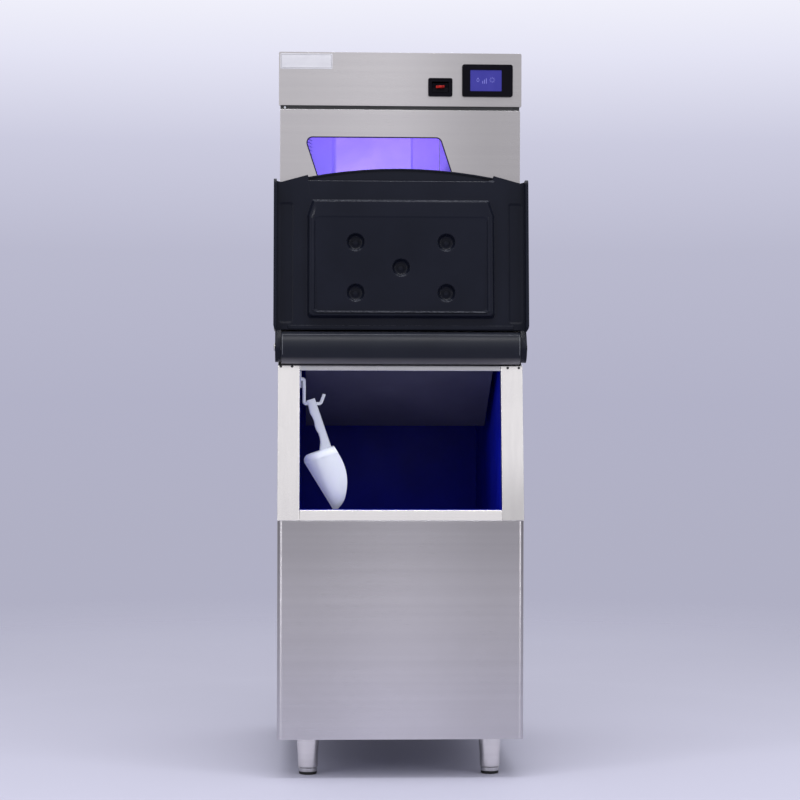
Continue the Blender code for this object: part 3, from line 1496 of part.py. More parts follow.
def compressor(finish):
    """The hermetic compressor, a seamed can on its foot plate."""
    radius, height = COMPRESSOR_RADIUS, COMPRESSOR_HEIGHT
    x, y = COMPRESSOR_INSET - HEAD_HALF, REAR_Y - COMPRESSOR_REACH
    shares = (
        (0.81, 0.05),
        (0.93, 0.11),
        (0.95, 0.42),
        (1.0, 0.435),
        (1.0, 0.46),
        (0.95, 0.475),
        (0.93, 0.74),
        (0.77, 0.90),
        (0.14, 1.0),
    )
    profile = [(radius * across, height * up) for across, up in shares]
    can = turned("compressor", "Z", (x, y, PAN_TOP), profile, finish, 20)
    half, depth = radius * 1.05, radius * 0.81
    low = (x - half, y - depth, PAN_TOP)
    return join(can, block("compressor_plate", low, (x + half, y + depth, PAN_TOP + COMPRESSOR_FOOT)))


def condenser(finish):
    """The finned block behind the fan, with its tube ends at one side and its stand."""
    y = FRONT_Y + CONDENSER_SETBACK
    half = CONDENSER_HALF
    left, right = FAN_X - half, FAN_X + half
    low, high = FAN_Z - half, FAN_Z + half
    rib = FIN_DEPTH
    front, rear = y + rib, y + CONDENSER_DEPTH - rib
    fins = int(2 * half / FIN_PITCH)
    pitch = 2 * half / fins
    plan = [(right, front), (right, rear), (left, rear), (left, front)]
    for i in range(fins):
        start = left + (i + 0.3) * pitch
        end = start + 0.4 * pitch
        plan += [(start, front), (start, y), (end, y), (end, front)]
    core = prism("condenser", "Z", plan, low, high, finish)
    tube = 1.4 * TUBE_RADIUS
    profile = [(tube, -TUBE_RADIUS / 2), (tube, 1.2 * TUBE_RADIUS), (TUBE_RADIUS, 2 * TUBE_RADIUS)]
    for i in range(-2, 3):
        centre = (right, y + CONDENSER_DEPTH / 2, FAN_Z + 0.37 * i * half)
        join(core, turned("condenser_bend", "X", centre, profile, None, 8))
    foot = (left + rib, front + rib, PAN_TOP)
    return join(core, block("condenser_stand", foot, (right - rib, rear - rib, low + rib / 2)))


def fan_shroud(finish):
    """The duct between the fan and the condenser, with the motor's bracket across it."""
    rear = FRONT_Y + CONDENSER_SETBACK - GAP
    front = rear - SHROUD_DEPTH
    half = CONDENSER_HALF
    low, high = (FAN_X - half, FAN_Z - half), (FAN_X + half, FAN_Z + half)
    shroud = prism("fan_shroud", "Y", rounded(low, high, 2 * ARM_THICKNESS), front, rear, finish)
    ring = circle((FAN_X, FAN_Z), FAN_RADIUS + ARM_THICKNESS, 24)
    cut(shroud, prism("fan_ring", "Y", ring, front - FLANGE, rear + FLANGE))
    reach = half - ARM_THICKNESS
    for sign in (-1, 1):
        z = FAN_Z + sign * 4 * ARM_HALF
        low = (FAN_X - reach, front - ARM_THICKNESS, z - ARM_HALF)
        join(shroud, block("motor_arm", low, (FAN_X + reach, front + ARM_THICKNESS / 4, z + ARM_HALF)))
    return shroud


def fan_motor(finish):
    """The fan's motor, its nose between the bracket's arms and its shaft in the hub."""
    face = FRONT_Y + CONDENSER_SETBACK - SHROUD_DEPTH - ARM_THICKNESS - 2 * GAP
    radius, length = MOTOR_RADIUS, MOTOR_LENGTH
    nose = 0.4 * radius
    profile = [
        (0.83 * radius, -length),
        (radius, -0.88 * length),
        (radius, -0.08 * length),
        (0.83 * radius, 0),
        (nose, 0),
        (nose, ARM_THICKNESS),
        (MOTOR_SHAFT, ARM_THICKNESS),
        (MOTOR_SHAFT, FAN_Y - face),
    ]
    return turned("fan_motor", "Y", (FAN_X, face, FAN_Z), profile, finish, 16)


def fan_blade(centre, turn):
    """One blade: thicker at its root, wide and flatter towards its tip."""
    rings = []
    for radius, share, pitch in (
        (0.7 * HUB_RADIUS, 0.36, 38),
        (0.53 * FAN_RADIUS, 0.86, 30),
        (0.84 * FAN_RADIUS, 1.0, 24),
        (0.97 * FAN_RADIUS, 0.8, 20),
    ):
        half = share * BLADE_HALF
        tilt = math.radians(pitch)
        ring = []
        for across, lift in ((-half, 0), (0, BLADE_THICKNESS / 2), (half, 0), (0, -BLADE_THICKNESS / 2)):
            run = across * math.cos(tilt)
            x = radius * math.cos(turn) - run * math.sin(turn)
            z = radius * math.sin(turn) + run * math.cos(turn)
            ring.append(centre + Vector((x, across * math.sin(tilt) * 0.6 + lift, z)))
        rings.append(ring)
    blade_solid = loft("fan_blade", rings)
    blade_solid.modifiers.new("Split", "TRIANGULATE")
    return blade_solid


def condenser_fan(finish):
    """A hub with pitched blades, on the motor's shaft."""
    centre = Vector((FAN_X, FAN_Y, FAN_Z))
    radius, half = HUB_RADIUS, HUB_HALF
    profile = [(0.9 * radius, -1.2 * half), (radius, -half), (radius, half), (0.7 * radius, 1.2 * half)]
    fan = turned("condenser_fan", "Y", centre, profile, finish, 16)
    for blade in range(FAN_BLADES):
        join(fan, fan_blade(centre, math.tau * blade / FAN_BLADES))
    cut(fan, drill("fan_bore", "Y", centre, MOTOR_SHAFT + GAP, -2 * half, 0.8 * half, 12))
    set_origin(fan, centre)
    return fan


def control_box(finish):
    """The electrical box on the shelf behind the display."""
    right = HEAD_HALF - BOX_INSET
    front = HEAD_Y + BOX_SETBACK
    low = (right - BOX_WIDTH, front, CONTROL_LOW)
    high = (right, front + BOX_DEPTH, CONTROL_LOW + BOX_HEIGHT)
    return soften(block("control_box", low, high, finish), 1.5 * SHEET, 1)


def rear_fitting(name, x, z, radius, reach, bore, finish):
    """A fitting through the back panel: a nut inside, a collar outside and a stub."""
    nut = 1.4 * radius
    inner = -SHEET - GAP
    profile = [
        (nut, inner - reach * radius),
        (nut, inner),
        (radius, inner),
        (radius, GAP),
        (nut, GAP),
        (nut, COLLAR_END),
        (radius, COLLAR_END),
        (radius, REAR_STUB),
    ]
    centre = (x, REAR_Y, z)
    fitting = turned(name, "Y", centre, profile, finish, 12)
    depth = 0.9 * reach * radius
    return cut(fitting, drill(name + "_bore", "Y", centre, bore * radius, -depth, 2 * REAR_STUB, 8))


def rear_fittings(brass, plastic):
    rear_fitting("water_inlet", INLET_X, INLET_Z, INLET_RADIUS, 2.9, 0.57, brass)
    rear_fitting("drain_outlet", INLET_X, OUTLET_Z, OUTLET_RADIUS, 1.0, 0.72, plastic)
    rear_fitting("power_gland", 0, GLAND_Z, GLAND_RADIUS, 0.9, 0.45, plastic)


def build():
    clear_scene()
    brushed = material("brushed steel", steel(0.60), 0.32, 1.0)
    polished = material("polished steel", steel(0.74), 0.22, 1.0)
    zinc = material("zinc sheet", (0.55, 0.56, 0.57), 0.45, 0.9)
    dark = material("dark sheet", (0.045, 0.046, 0.050), 0.5)
    door_black = material("door plastic", (0.020, 0.023, 0.030), 0.42)
    blue = material("blue liner", (0.010, 0.018, 0.230), 0.38)
    grey = material("baffle plastic", (0.020, 0.020, 0.045), 0.5)
    white = material("white plastic", (0.66, 0.68, 0.78), 0.35)
    foam = material("foam", (0.78, 0.70, 0.48), 0.9)
    rubber = material("rubber", (0.012, 0.012, 0.013), 0.7)
    glass = material("window", (0.35, 0.30, 0.95), 0.1, 0.0, 0.35)
    black = material("black plastic", (0.015, 0.014, 0.018), 0.35)
    screen = material("screen", (0.060, 0.055, 0.350), 0.2)
    tin = material("tinned copper", (0.70, 0.70, 0.72), 0.3, 1.0)
    brass = material("brass", (0.70, 0.52, 0.22), 0.35, 1.0)
    fins = material("aluminium fins", (0.70, 0.71, 0.72), 0.4, 1.0)
    lamp = material("lamp", (0.62, 0.50, 1.0), 0.4)
    board = material("galvanised box", (0.50, 0.51, 0.52), 0.5, 0.8)

    profile = front_profile_cutter()
    bin_shell(brushed, profile)
    bin_panels(zinc)
    bin_top_deck(brushed)
    bin_liner(blue)
    bin_insulation(foam, profile)
    bin_drain(white)
    opening_frame(polished)
    ice_baffle(grey)
    door_roll(door_black)
    pivot_pins(polished)
    bin_door(door_black)
    scoop_hook(white)
    scoop(white)
    legs(polished, zinc, rubber)

    head_front_panel(brushed)
    window_pane(glass)
    control_panel(brushed)
    power_switch(black, black)
    display(black, screen)
    head_side("head_side_left", -1, brushed)
    head_side("head_side_right", 1, brushed)
    head_rear_panel(zinc)
    head_top_cover(brushed)
    head_base_pan(zinc)
    control_shelf(dark)
    partition(zinc)

    evaporator(tin)
    evaporator_frame(white)
    water_curtain(glass)
    water_distributor(white)
    water_trough(white)
    water_pump(black)
    lamp_bar(lamp)
    compressor(black)
    condenser(fins)
    fan_shroud(dark)
    fan_motor(zinc)
    condenser_fan(black)
    control_box(board)
    rear_fittings(brass, black)


build()
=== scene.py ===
import json
import math

import bmesh
import bpy
from mathutils import Matrix, Vector


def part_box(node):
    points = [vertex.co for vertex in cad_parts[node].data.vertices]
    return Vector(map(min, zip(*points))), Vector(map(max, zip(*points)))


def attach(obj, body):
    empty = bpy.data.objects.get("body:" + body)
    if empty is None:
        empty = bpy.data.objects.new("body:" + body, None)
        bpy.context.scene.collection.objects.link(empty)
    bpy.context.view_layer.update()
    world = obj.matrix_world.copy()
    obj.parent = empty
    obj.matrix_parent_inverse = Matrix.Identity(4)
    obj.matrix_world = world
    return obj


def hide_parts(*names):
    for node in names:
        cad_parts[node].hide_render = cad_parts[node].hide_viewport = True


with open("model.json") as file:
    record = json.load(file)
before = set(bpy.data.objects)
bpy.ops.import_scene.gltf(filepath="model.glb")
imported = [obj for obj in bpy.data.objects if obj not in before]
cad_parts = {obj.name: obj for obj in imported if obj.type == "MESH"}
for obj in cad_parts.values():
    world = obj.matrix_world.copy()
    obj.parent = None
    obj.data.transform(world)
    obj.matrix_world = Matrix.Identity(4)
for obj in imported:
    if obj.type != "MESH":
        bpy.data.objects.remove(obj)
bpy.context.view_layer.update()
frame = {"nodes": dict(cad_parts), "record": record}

bodyOf = {node: body for body, nodes in frame["record"]["behaviour"]["bodies"].items() for node in nodes}
slotOf = {part["node"]: part["material_slot"] for part in frame["record"]["subparts"]}
materials = {}
print("frame loaded,", len(frame["nodes"]), "nodes")


def addObject(name, data):
    made = bpy.data.objects.new(name, data)
    bpy.context.scene.collection.objects.link(made)
    return made


# camera, at the place the photograph was taken from
cameraSettings = {
    "place": (-0.20427, -5.26632, 0.85159),
    "yaw": 2.380,  # degrees to the right of straight ahead
    "pitch": 0.0838,
    "roll": 0.1421,
    "lens": 96.32,  # mm on a 36 mm sensor
}


def makeCamera(s):
    yaw, pitch, roll = (math.radians(s[key]) for key in ("yaw", "pitch", "roll"))
    ahead = Vector((math.sin(yaw) * math.cos(pitch), math.cos(yaw) * math.cos(pitch), math.sin(pitch)))
    side = Vector((math.cos(yaw), -math.sin(yaw), 0))
    up = side.cross(ahead)
    right = side * math.cos(roll) + up * math.sin(roll)
    top = up * math.cos(roll) - side * math.sin(roll)
    data = bpy.data.cameras.new("photoCamera")
    data.lens = s["lens"]
    data.sensor_width = 36
    data.clip_end = 60
    camera = addObject("photoCamera", data)
    turn = Matrix((right, top, -ahead)).transposed()
    camera.matrix_world = Matrix.Translation(s["place"]) @ turn.to_4x4()
    bpy.context.scene.camera = camera


makeCamera(cameraSettings)
print("camera set")


# node helpers
def addNode(tree, kind, **values):
    node = tree.nodes.new(kind)
    for key, value in values.items():
        setattr(node, key, value)
    return node


def setInputs(node, **values):
    for key, value in values.items():
        node.inputs[key.replace("_", " ")].default_value = value
    return node


def wire(tree, source, target):
    tree.links.new(source, target)


def feed(tree, value, socket):
    # numbers and colours are set, anything else is wired
    if isinstance(value, (int, float)):
        socket.default_value = value
    elif isinstance(value, tuple):
        socket.default_value = (*value, 1)
    else:
        wire(tree, value, socket)


def newGroup(name, inputs, outputs):
    group = bpy.data.node_groups.new(name, "ShaderNodeTree")
    for label, kind, value in inputs:
        socket = group.interface.new_socket(label, in_out="INPUT", socket_type="NodeSocket" + kind)
        socket.default_value = value
    for label, kind in outputs:
        group.interface.new_socket(label, in_out="OUTPUT", socket_type="NodeSocket" + kind)
    return group, addNode(group, "NodeGroupInput"), addNode(group, "NodeGroupOutput")


def objectPlace(tree):
    return addNode(tree, "ShaderNodeTexCoord").outputs["Object"]


def scaledPlace(tree, stretch):
    # metres on the object, stretched along each axis
    scale = addNode(tree, "ShaderNodeVectorMath", operation="MULTIPLY")
    wire(tree, objectPlace(tree), scale.inputs[0])
    wire(tree, stretch, scale.inputs[1])
    return scale.outputs[0]


def noise(tree, vector, scale, detail=3.0, roughness=0.5, distortion=0.0):
    node = addNode(tree, "ShaderNodeTexNoise")
    setInputs(node, Detail=detail, Roughness=roughness, Distortion=distortion)
    feed(tree, scale, node.inputs["Scale"])
    wire(tree, vector, node.inputs["Vector"])
    return node.outputs["Fac"]


def spread(tree, value, low, high, toLow=0.0, toHigh=1.0):
    node = addNode(tree, "ShaderNodeMapRange", clamp=True)
    setInputs(node, From_Min=low, From_Max=high, To_Min=toLow, To_Max=toHigh)
    wire(tree, value, node.inputs["Value"])
    return node.outputs["Result"]


def maths(tree, operation, first, second, clamp=True):
    node = addNode(tree, "ShaderNodeMath", operation=operation, use_clamp=clamp)
    feed(tree, first, node.inputs[0])
    feed(tree, second, node.inputs[1])
    return node.outputs[0]


def mixColour(tree, mask, first, second):
    node = addNode(tree, "ShaderNodeMix", data_type="RGBA")
    wire(tree, mask, node.inputs["Factor"])
    feed(tree, first, node.inputs[6])
    feed(tree, second, node.inputs[7])
    return node.outputs[2]


def makeRamp(tree, value, stops):
    ramp = addNode(tree, "ShaderNodeValToRGB")
    wire(tree, value, ramp.inputs["Fac"])
    elements = ramp.color_ramp.elements
    while len(elements) < len(stops):
        elements.new(0.5)
    for element, (position, colour) in zip(elements, stops):
        element.position, element.color = position, (*colour, 1)
    return ramp.outputs["Color"]


def axesOf(tree, vector):
    split = addNode(tree, "ShaderNodeSeparateXYZ")
    wire(tree, vector, split.inputs[0])
    return split.outputs


def colourAndRoughness(tree, shader, colour, rough):
    wire(tree, colour, shader.inputs["Base Color"])
    wire(tree, rough, shader.inputs["Roughness"])


def glowWith(tree, shader, colour):
    wire(tree, colour, shader.inputs["Emission Color"])


# shared effects
def makeBrushing():
    # fine lines drawn out along one direction, and the wider streaks that a belt leaves
    group, start, end = newGroup(
        "sheetBrushing",
        [("Stretch", "Vector", (2, 2, 400)), ("Fineness", "Float", 6.0)],
        [("Lines", "Float"), ("Streaks", "Float")],
    )
    place = scaledPlace(group, start.outputs["Stretch"])
    wire(group, noise(group, place, start.outputs["Fineness"], 4.0, 0.65), end.inputs["Lines"])
    wide = addNode(group, "ShaderNodeVectorMath", operation="SCALE")
    wide.inputs["Scale"].default_value = 0.12
    wire(group, place, wide.inputs[0])
    streaks = noise(group, wide.outputs[0], 1.3, 2.0)
    wire(group, spread(group, streaks, 0.3, 0.7), end.inputs["Streaks"])
    return group


def makeHandling():
    # clouds of light soiling where hands and cloths have been, and dust on what faces up
    group, start, end = newGroup(
        "handlingMarks",
        [("Scale", "Float", 6.0), ("Contrast", "Float", 0.5)],
        [("Smudge", "Float"), ("Dust", "Float")],
    )
    place = objectPlace(group)
    soft = spread(group, noise(group, place, start.outputs["Scale"], 5.0, 0.62, 0.6), 0.42, 0.72)
    wire(group, maths(group, "MULTIPLY", soft, start.outputs["Contrast"]), end.inputs["Smudge"])
    facing = addNode(group, "ShaderNodeNewGeometry")
    upward = spread(group, axesOf(group, facing.outputs["Normal"])["Z"], 0.55, 1.0)
    specks = spread(group, noise(group, place, 180.0, 2.0), 0.35, 0.75)
    wire(group, maths(group, "MULTIPLY", upward, specks), end.inputs["Dust"])
    return group


def makeMouldGrain():
    # the fine leather-like texture of a moulded plastic skin
    group, start, end = newGroup(
        "mouldGrain",
        [("Scale", "Float", 900.0)],
        [("Height", "Float"), ("Tone", "Float")],
    )
    place = objectPlace(group)
    cells = addNode(group, "ShaderNodeTexVoronoi", feature="SMOOTH_F1")
    wire(group, place, cells.inputs["Vector"])
    wire(group, start.outputs["Scale"], cells.inputs["Scale"])
    wire(group, cells.outputs["Distance"], end.inputs["Height"])
    wire(group, spread(group, noise(group, place, 9.0, 4.0), 0.3, 0.7), end.inputs["Tone"])
    return group


def makeEdgeMask():
    # the bevelled edges of a dressed piece, lightened as wear and as a painted highlight, broken up where wear has been
    # uneven
    group, start, end = newGroup("edgeWearAndPaintedHighlight", [("Amount", "Float", 0.6)], [("Edge", "Float")])
    edge = addNode(group, "ShaderNodeAttribute", attribute_name="edge")
    patch = spread(group, noise(group, objectPlace(group), 16.0, 1.0), 0.3, 0.6, 0.6, 1.0)
    wearAndHighlight = maths(group, "MULTIPLY", edge.outputs["Fac"], patch)
    wire(group, maths(group, "MULTIPLY", wearAndHighlight, start.outputs["Amount"]), end.inputs["Edge"])
    return group


def makePaintedSheetShade():
    # painted shade: the slow darkening of a large brushed sheet from its middle towards its sides and its low or high
    # edge, standing in for its dimmer reflection there
    labels = ("Middle", "Half", "Left", "Right", "Low", "High", "Foot", "Top")
    group, start, end = newGroup("paintedSheetShade", [(label, "Float", 0.0) for label in labels], [("Shade", "Float")])
    axes, value = axesOf(group, objectPlace(group)), start.outputs

    def combine(operation, first, second):
        return maths(group, operation, first, second, False)

    middle, reach = value["Middle"], value["Half"]
    centre = combine("MULTIPLY", combine("ADD", value["Foot"], value["Top"]), 0.5)
    sides = (
        ("X", middle, combine("ADD", middle, reach), "Right"),
        ("X", middle, combine("SUBTRACT", middle, reach), "Left"),
        ("Z", centre, value["Top"], "High"),
        ("Z", centre, value["Foot"], "Low"),
    )
    parts = []
    for axis, near, far, amount in sides:
        eased = addNode(group, "ShaderNodeMapRange", interpolation_type="SMOOTHSTEP")
        for label, socket in (("Value", axes[axis]), ("From Min", near), ("From Max", far)):
            wire(group, socket, eased.inputs[label])
        parts.append(combine("MULTIPLY", eased.outputs["Result"], value[amount]))
    total = parts[0]
    for part in parts[1:]:
        total = combine("ADD", total, part)
    wire(group, total, end.inputs["Shade"])
    return group


groups = {
    "brushing": makeBrushing(),
    "paintedShade": makePaintedSheetShade(),
    "handling": makeHandling(),
    "grain": makeMouldGrain(),
    "edge": makeEdgeMask(),
}


def useGroup(tree, name, **values):
    node = addNode(tree, "ShaderNodeGroup", node_tree=groups[name])
    return setInputs(node, **values)


def smudgeOf(tree, scale, contrast):
    return useGroup(tree, "handling", Scale=scale, Contrast=contrast).outputs["Smudge"]


def wornAndHighlightedEdge(tree, amount):
    return useGroup(tree, "edge", Amount=amount).outputs["Edge"]


def newMaterial(name, **constants):
    material = bpy.data.materials.new(name)
    material.use_nodes = True
    materials[name] = material
    tree = material.node_tree
    return tree, setInputs(tree.nodes["Principled BSDF"], **constants)


def bumpFrom(tree, shader, height, distance, strength=1.0):
    bump = addNode(tree, "ShaderNodeBump")
    setInputs(bump, Strength=strength, Distance=distance)
    wire(tree, height, bump.inputs["Height"])
    wire(tree, bump.outputs["Normal"], shader.inputs["Normal"])


# steel
frameTone = dict(tone=(0.92, 0.90, 0.90), dark=(0.87, 0.85, 0.855), rough=(0.20, 0.28))
# painted shade darkens a sheet from its middle out to the left and right by these shares, and towards its low or high
# edge, between the heights foot and top
steelSettings = {
    "headSteel": dict(tone=(0.735, 0.715, 0.73), dark=(0.695, 0.675, 0.695), rough=(0.25, 0.33), stretch=(3, 3, 420),
                      shade=dict(left=0.10, right=0.26, middle=-0.03, half=0.25, foot=1.0, top=1.66)),
    "topSteel": dict(tone=(0.70, 0.685, 0.70), dark=(0.66, 0.645, 0.66), rough=(0.25, 0.33), stretch=(3, 420, 3)),
    "wrapSteel": dict(tone=(0.69, 0.67, 0.70), dark=(0.65, 0.63, 0.66), rough=(0.26, 0.34), stretch=(3, 3, 420),
                      shade=dict(left=0.12, right=0.14, half=0.24, high=0.16, foot=0.14, top=0.60)),
    "postSteel": dict(frameTone, stretch=(420, 420, 3)),
    # painted shade on the lower part of the right post
    "rightPost": dict(frameTone, stretch=(420, 420, 3),
                      shade=dict(middle=0.25, half=0.1, low=0.26, foot=0.60, top=0.90)),
    "railSteel": dict(frameTone, stretch=(3, 420, 420)),
    # a darker copy of the frame steel: painted shade cast by the roll above the lintel
    "lintelSteel": dict(tone=(0.56, 0.56, 0.60), dark=(0.50, 0.50, 0.54), rough=(0.24, 0.32), stretch=(3, 420, 420)),
    "legSteel": dict(tone=(0.77, 0.74, 0.72), dark=(0.70, 0.675, 0.66), rough=(0.16, 0.24), stretch=(12, 12, 600)),
    "pinSteel": dict(tone=(0.66, 0.65, 0.66), dark=(0.58, 0.57, 0.58), rough=(0.16, 0.28), stretch=(12, 600, 600)),
    "footSteel": dict(tone=(0.62, 0.61, 0.62), dark=(0.52, 0.51, 0.52), rough=(0.22, 0.34), stretch=(12, 12, 900)),
}


def makeSteel(name, s):
    tree, shader = newMaterial(name, Metallic=1.0)
    brush = useGroup(tree, "brushing", Stretch=s["stretch"])
    smudge = smudgeOf(tree, 5.0, 0.35)
    base = mixColour(tree, brush.outputs["Streaks"], s["dark"], s["tone"])
    smeared = mixColour(tree, smudge, base, tuple(0.9 * v for v in s["dark"]))
    # wear and painted highlight: bevelled edges are lightened towards near white
    colour = mixColour(tree, wornAndHighlightedEdge(tree, 0.7), smeared, (0.92, 0.91, 0.92))
    # painted shade: a sheet with a shade setting is darkened towards near black by its mask
    if "shade" in s:
        paintedShade = useGroup(tree, "paintedShade", **{key.capitalize(): value for key, value in s["shade"].items()})
        colour = mixColour(tree, paintedShade.outputs["Shade"], colour, tuple(0.02 * v for v in s["dark"]))
    grain = spread(tree, brush.outputs["Lines"], 0.3, 0.7, *s["rough"])
    colourAndRoughness(tree, shader, colour, maths(tree, "ADD", grain, maths(tree, "MULTIPLY", smudge, 0.12)))
    bumpFrom(tree, shader, brush.outputs["Lines"], 0.00002, 0.2)


for name, settings in steelSettings.items():
    makeSteel(name, settings)


def makeZinc():
    # zinc coat with its pale crystals
    tree, shader = newMaterial("zincCoat", Metallic=0.85)
    cells = addNode(tree, "ShaderNodeTexVoronoi")
    setInputs(cells, Scale=70.0)
    wire(tree, objectPlace(tree), cells.inputs["Vector"])
    chance = axesOf(tree, cells.outputs["Color"])
    crystal = mixColour(tree, chance["X"], (0.44, 0.45, 0.46), (0.58, 0.59, 0.61))
    dull = mixColour(tree, smudgeOf(tree, 4.0, 0.5), crystal, (0.36, 0.36, 0.37))
    # wear and painted highlight: bevelled edges are lightened
    colour = mixColour(tree, wornAndHighlightedEdge(tree, 0.6), dull, (0.74, 0.74, 0.75))
    colourAndRoughness(tree, shader, colour, spread(tree, chance["Y"], 0.0, 1.0, 0.36, 0.52))


makeZinc()


# moulded plastics and paints
plasticSettings = {
    # the door's pale edge colour is a painted highlight on the edges that look up
    "doorMoulding": dict(tone=(0.0070, 0.0084, 0.0165), dark=(0.0052, 0.0064, 0.0130), wearAndHighlight=(0.42, 0.44, 0.52),
                         rough=(0.30, 0.38), grain=1100.0, relief=0.00003, spec=0.13, wear=1.0),
    "rollMoulding": dict(tone=(0.0110, 0.0130, 0.0215), dark=(0.0090, 0.0105, 0.0180), wearAndHighlight=(0.085, 0.090, 0.112),
                         rough=(0.40, 0.48), grain=1100.0, relief=0.00003, spec=0.20, wear=0.4,
                         paintedReflectionSpan=(0.9555, 0.9425), paintedReflectionGrey=(0.17, 0.165, 0.17)),  # painted reflection of the steel below: grey between these heights, in metres
    "tubLiner": dict(tone=(0.008, 0.016, 0.560), dark=(0.006, 0.011, 0.440), wearAndHighlight=(0.03, 0.04, 0.60),
                     rough=(0.32, 0.44), grain=700.0, relief=0.00004, spec=0.12, wear=0.2),
    "baffleSheet": dict(tone=(0.078, 0.077, 0.130), dark=(0.064, 0.063, 0.108), wearAndHighlight=(0.10, 0.10, 0.15),
                        rough=(0.42, 0.55), grain=900.0, relief=0.00005, spec=0.30, wear=0.3),
    "blackPaint": dict(tone=(0.032, 0.033, 0.037), dark=(0.022, 0.023, 0.026), wearAndHighlight=(0.12, 0.12, 0.13),
                       rough=(0.38, 0.52), grain=1400.0, relief=0.00003, spec=0.45, wear=0.5),
    "blackEnamel": dict(tone=(0.014, 0.014, 0.015), dark=(0.009, 0.009, 0.010), wearAndHighlight=(0.09, 0.09, 0.095),
                        rough=(0.26, 0.40), grain=500.0, relief=0.00004, spec=0.5, wear=0.5),
    "switchShell": dict(tone=(0.0050, 0.0045, 0.0075), dark=(0.0035, 0.0032, 0.0055), wearAndHighlight=(0.05, 0.05, 0.055),
                        rough=(0.20, 0.30), grain=2200.0, relief=0.00002, spec=0.04, wear=0.2),
    "padRubber": dict(tone=(0.013, 0.013, 0.014), dark=(0.009, 0.009, 0.010), wearAndHighlight=(0.05, 0.05, 0.05),
                      rough=(0.62, 0.78), grain=1500.0, relief=0.00006, spec=0.35, wear=0.4),
    # dark grey rather than the foam's own pale yellow: painted shade where it shows
    "foamBoard": dict(tone=(0.060, 0.058, 0.056), dark=(0.045, 0.044, 0.043), wearAndHighlight=(0.12, 0.115, 0.11),
                      rough=(0.80, 0.92), grain=420.0, relief=0.0004, spec=0.2, wear=0.2),
}


def makePlastic(name, s):
    tree, shader = newMaterial(name, Specular_IOR_Level=s["spec"])
    grain = useGroup(tree, "grain", Scale=s["grain"])
    hands = useGroup(tree, "handling", Scale=7.0, Contrast=0.45)
    edge = wornAndHighlightedEdge(tree, s["wear"])
    base = mixColour(tree, grain.outputs["Tone"], s["dark"], s["tone"])
    colour = mixColour(tree, maths(tree, "MULTIPLY", hands.outputs["Dust"], 0.25), base, s["wearAndHighlight"])
    # painted reflection: the roll's underside turns grey
    if "paintedReflectionSpan" in s:
        height = axesOf(tree, objectPlace(tree))["Z"]
        colour = mixColour(tree, spread(tree, height, *s["paintedReflectionSpan"]), colour, s["paintedReflectionGrey"])
    # wear and painted highlight: marked edges take the pale edge colour
    colour = mixColour(tree, edge, colour, s["wearAndHighlight"])
    colourAndRoughness(tree, shader, colour, spread(tree, hands.outputs["Smudge"], 0.0, 0.45, *s["rough"]))
    calm = spread(tree, edge, 0.0, 0.6, 1.0, 0.0)  # worn and highlighted edges are smooth
    bumpFrom(tree, shader, maths(tree, "MULTIPLY", grain.outputs["Height"], calm), s["relief"])


for name, settings in plasticSettings.items():
    makePlastic(name, settings)


def makeMilkyPlastic():
    # thick white plastic; its emission is painted light that brightens it
    tree, shader = newMaterial("milkyPlasticPaintedGlow", Subsurface_Weight=0.25, Subsurface_Radius=(0.006, 0.005, 0.008),
                               Subsurface_Scale=1.0, Specular_IOR_Level=0.45, Emission_Strength=0.20)
    grain = useGroup(tree, "grain", Scale=500.0)
    smudge = smudgeOf(tree, 9.0, 0.5)
    base = mixColour(tree, grain.outputs["Tone"], (0.60, 0.63, 0.72), (0.68, 0.71, 0.80))
    marked = mixColour(tree, smudge, base, (0.56, 0.59, 0.72))
    # wear and painted highlight: bevelled edges are lightened
    colour = mixColour(tree, wornAndHighlightedEdge(tree, 0.5), marked, (0.95, 0.96, 1.0))
    colourAndRoughness(tree, shader, colour, spread(tree, smudge, 0.0, 0.5, 0.30, 0.46))
    # painted light: the plastic glows in its own colour
    glowWith(tree, shader, colour)
    bumpFrom(tree, shader, grain.outputs["Height"], 0.00003)


makeMilkyPlastic()

# window bay
baySettings = {
    "lampColour": (0.40, 0.24, 1.0),
    "lampStrength": 1.6,
    "glowLeft": (0.125, 0.075, 0.74),
    "glowMiddle": (0.36, 0.235, 0.97),
    "glowRight": (0.235, 0.125, 0.92),
    "glowStrength": 0.95,
    "creaseShade": (0.085, 0.045, 0.56),
    # shares of the curtain's width, from the left, where its tone changes; the creases between carry painted shade
    "curtain": [(0.05, "glowLeft"), (0.228, "glowLeft"), (0.239, "creaseShade"), (0.252, "glowMiddle"), (0.5, "glowMiddle"),
                (0.767, "glowMiddle"), (0.776, "creaseShade"), (0.790, "glowRight"), (1.0, "glowRight")],
}


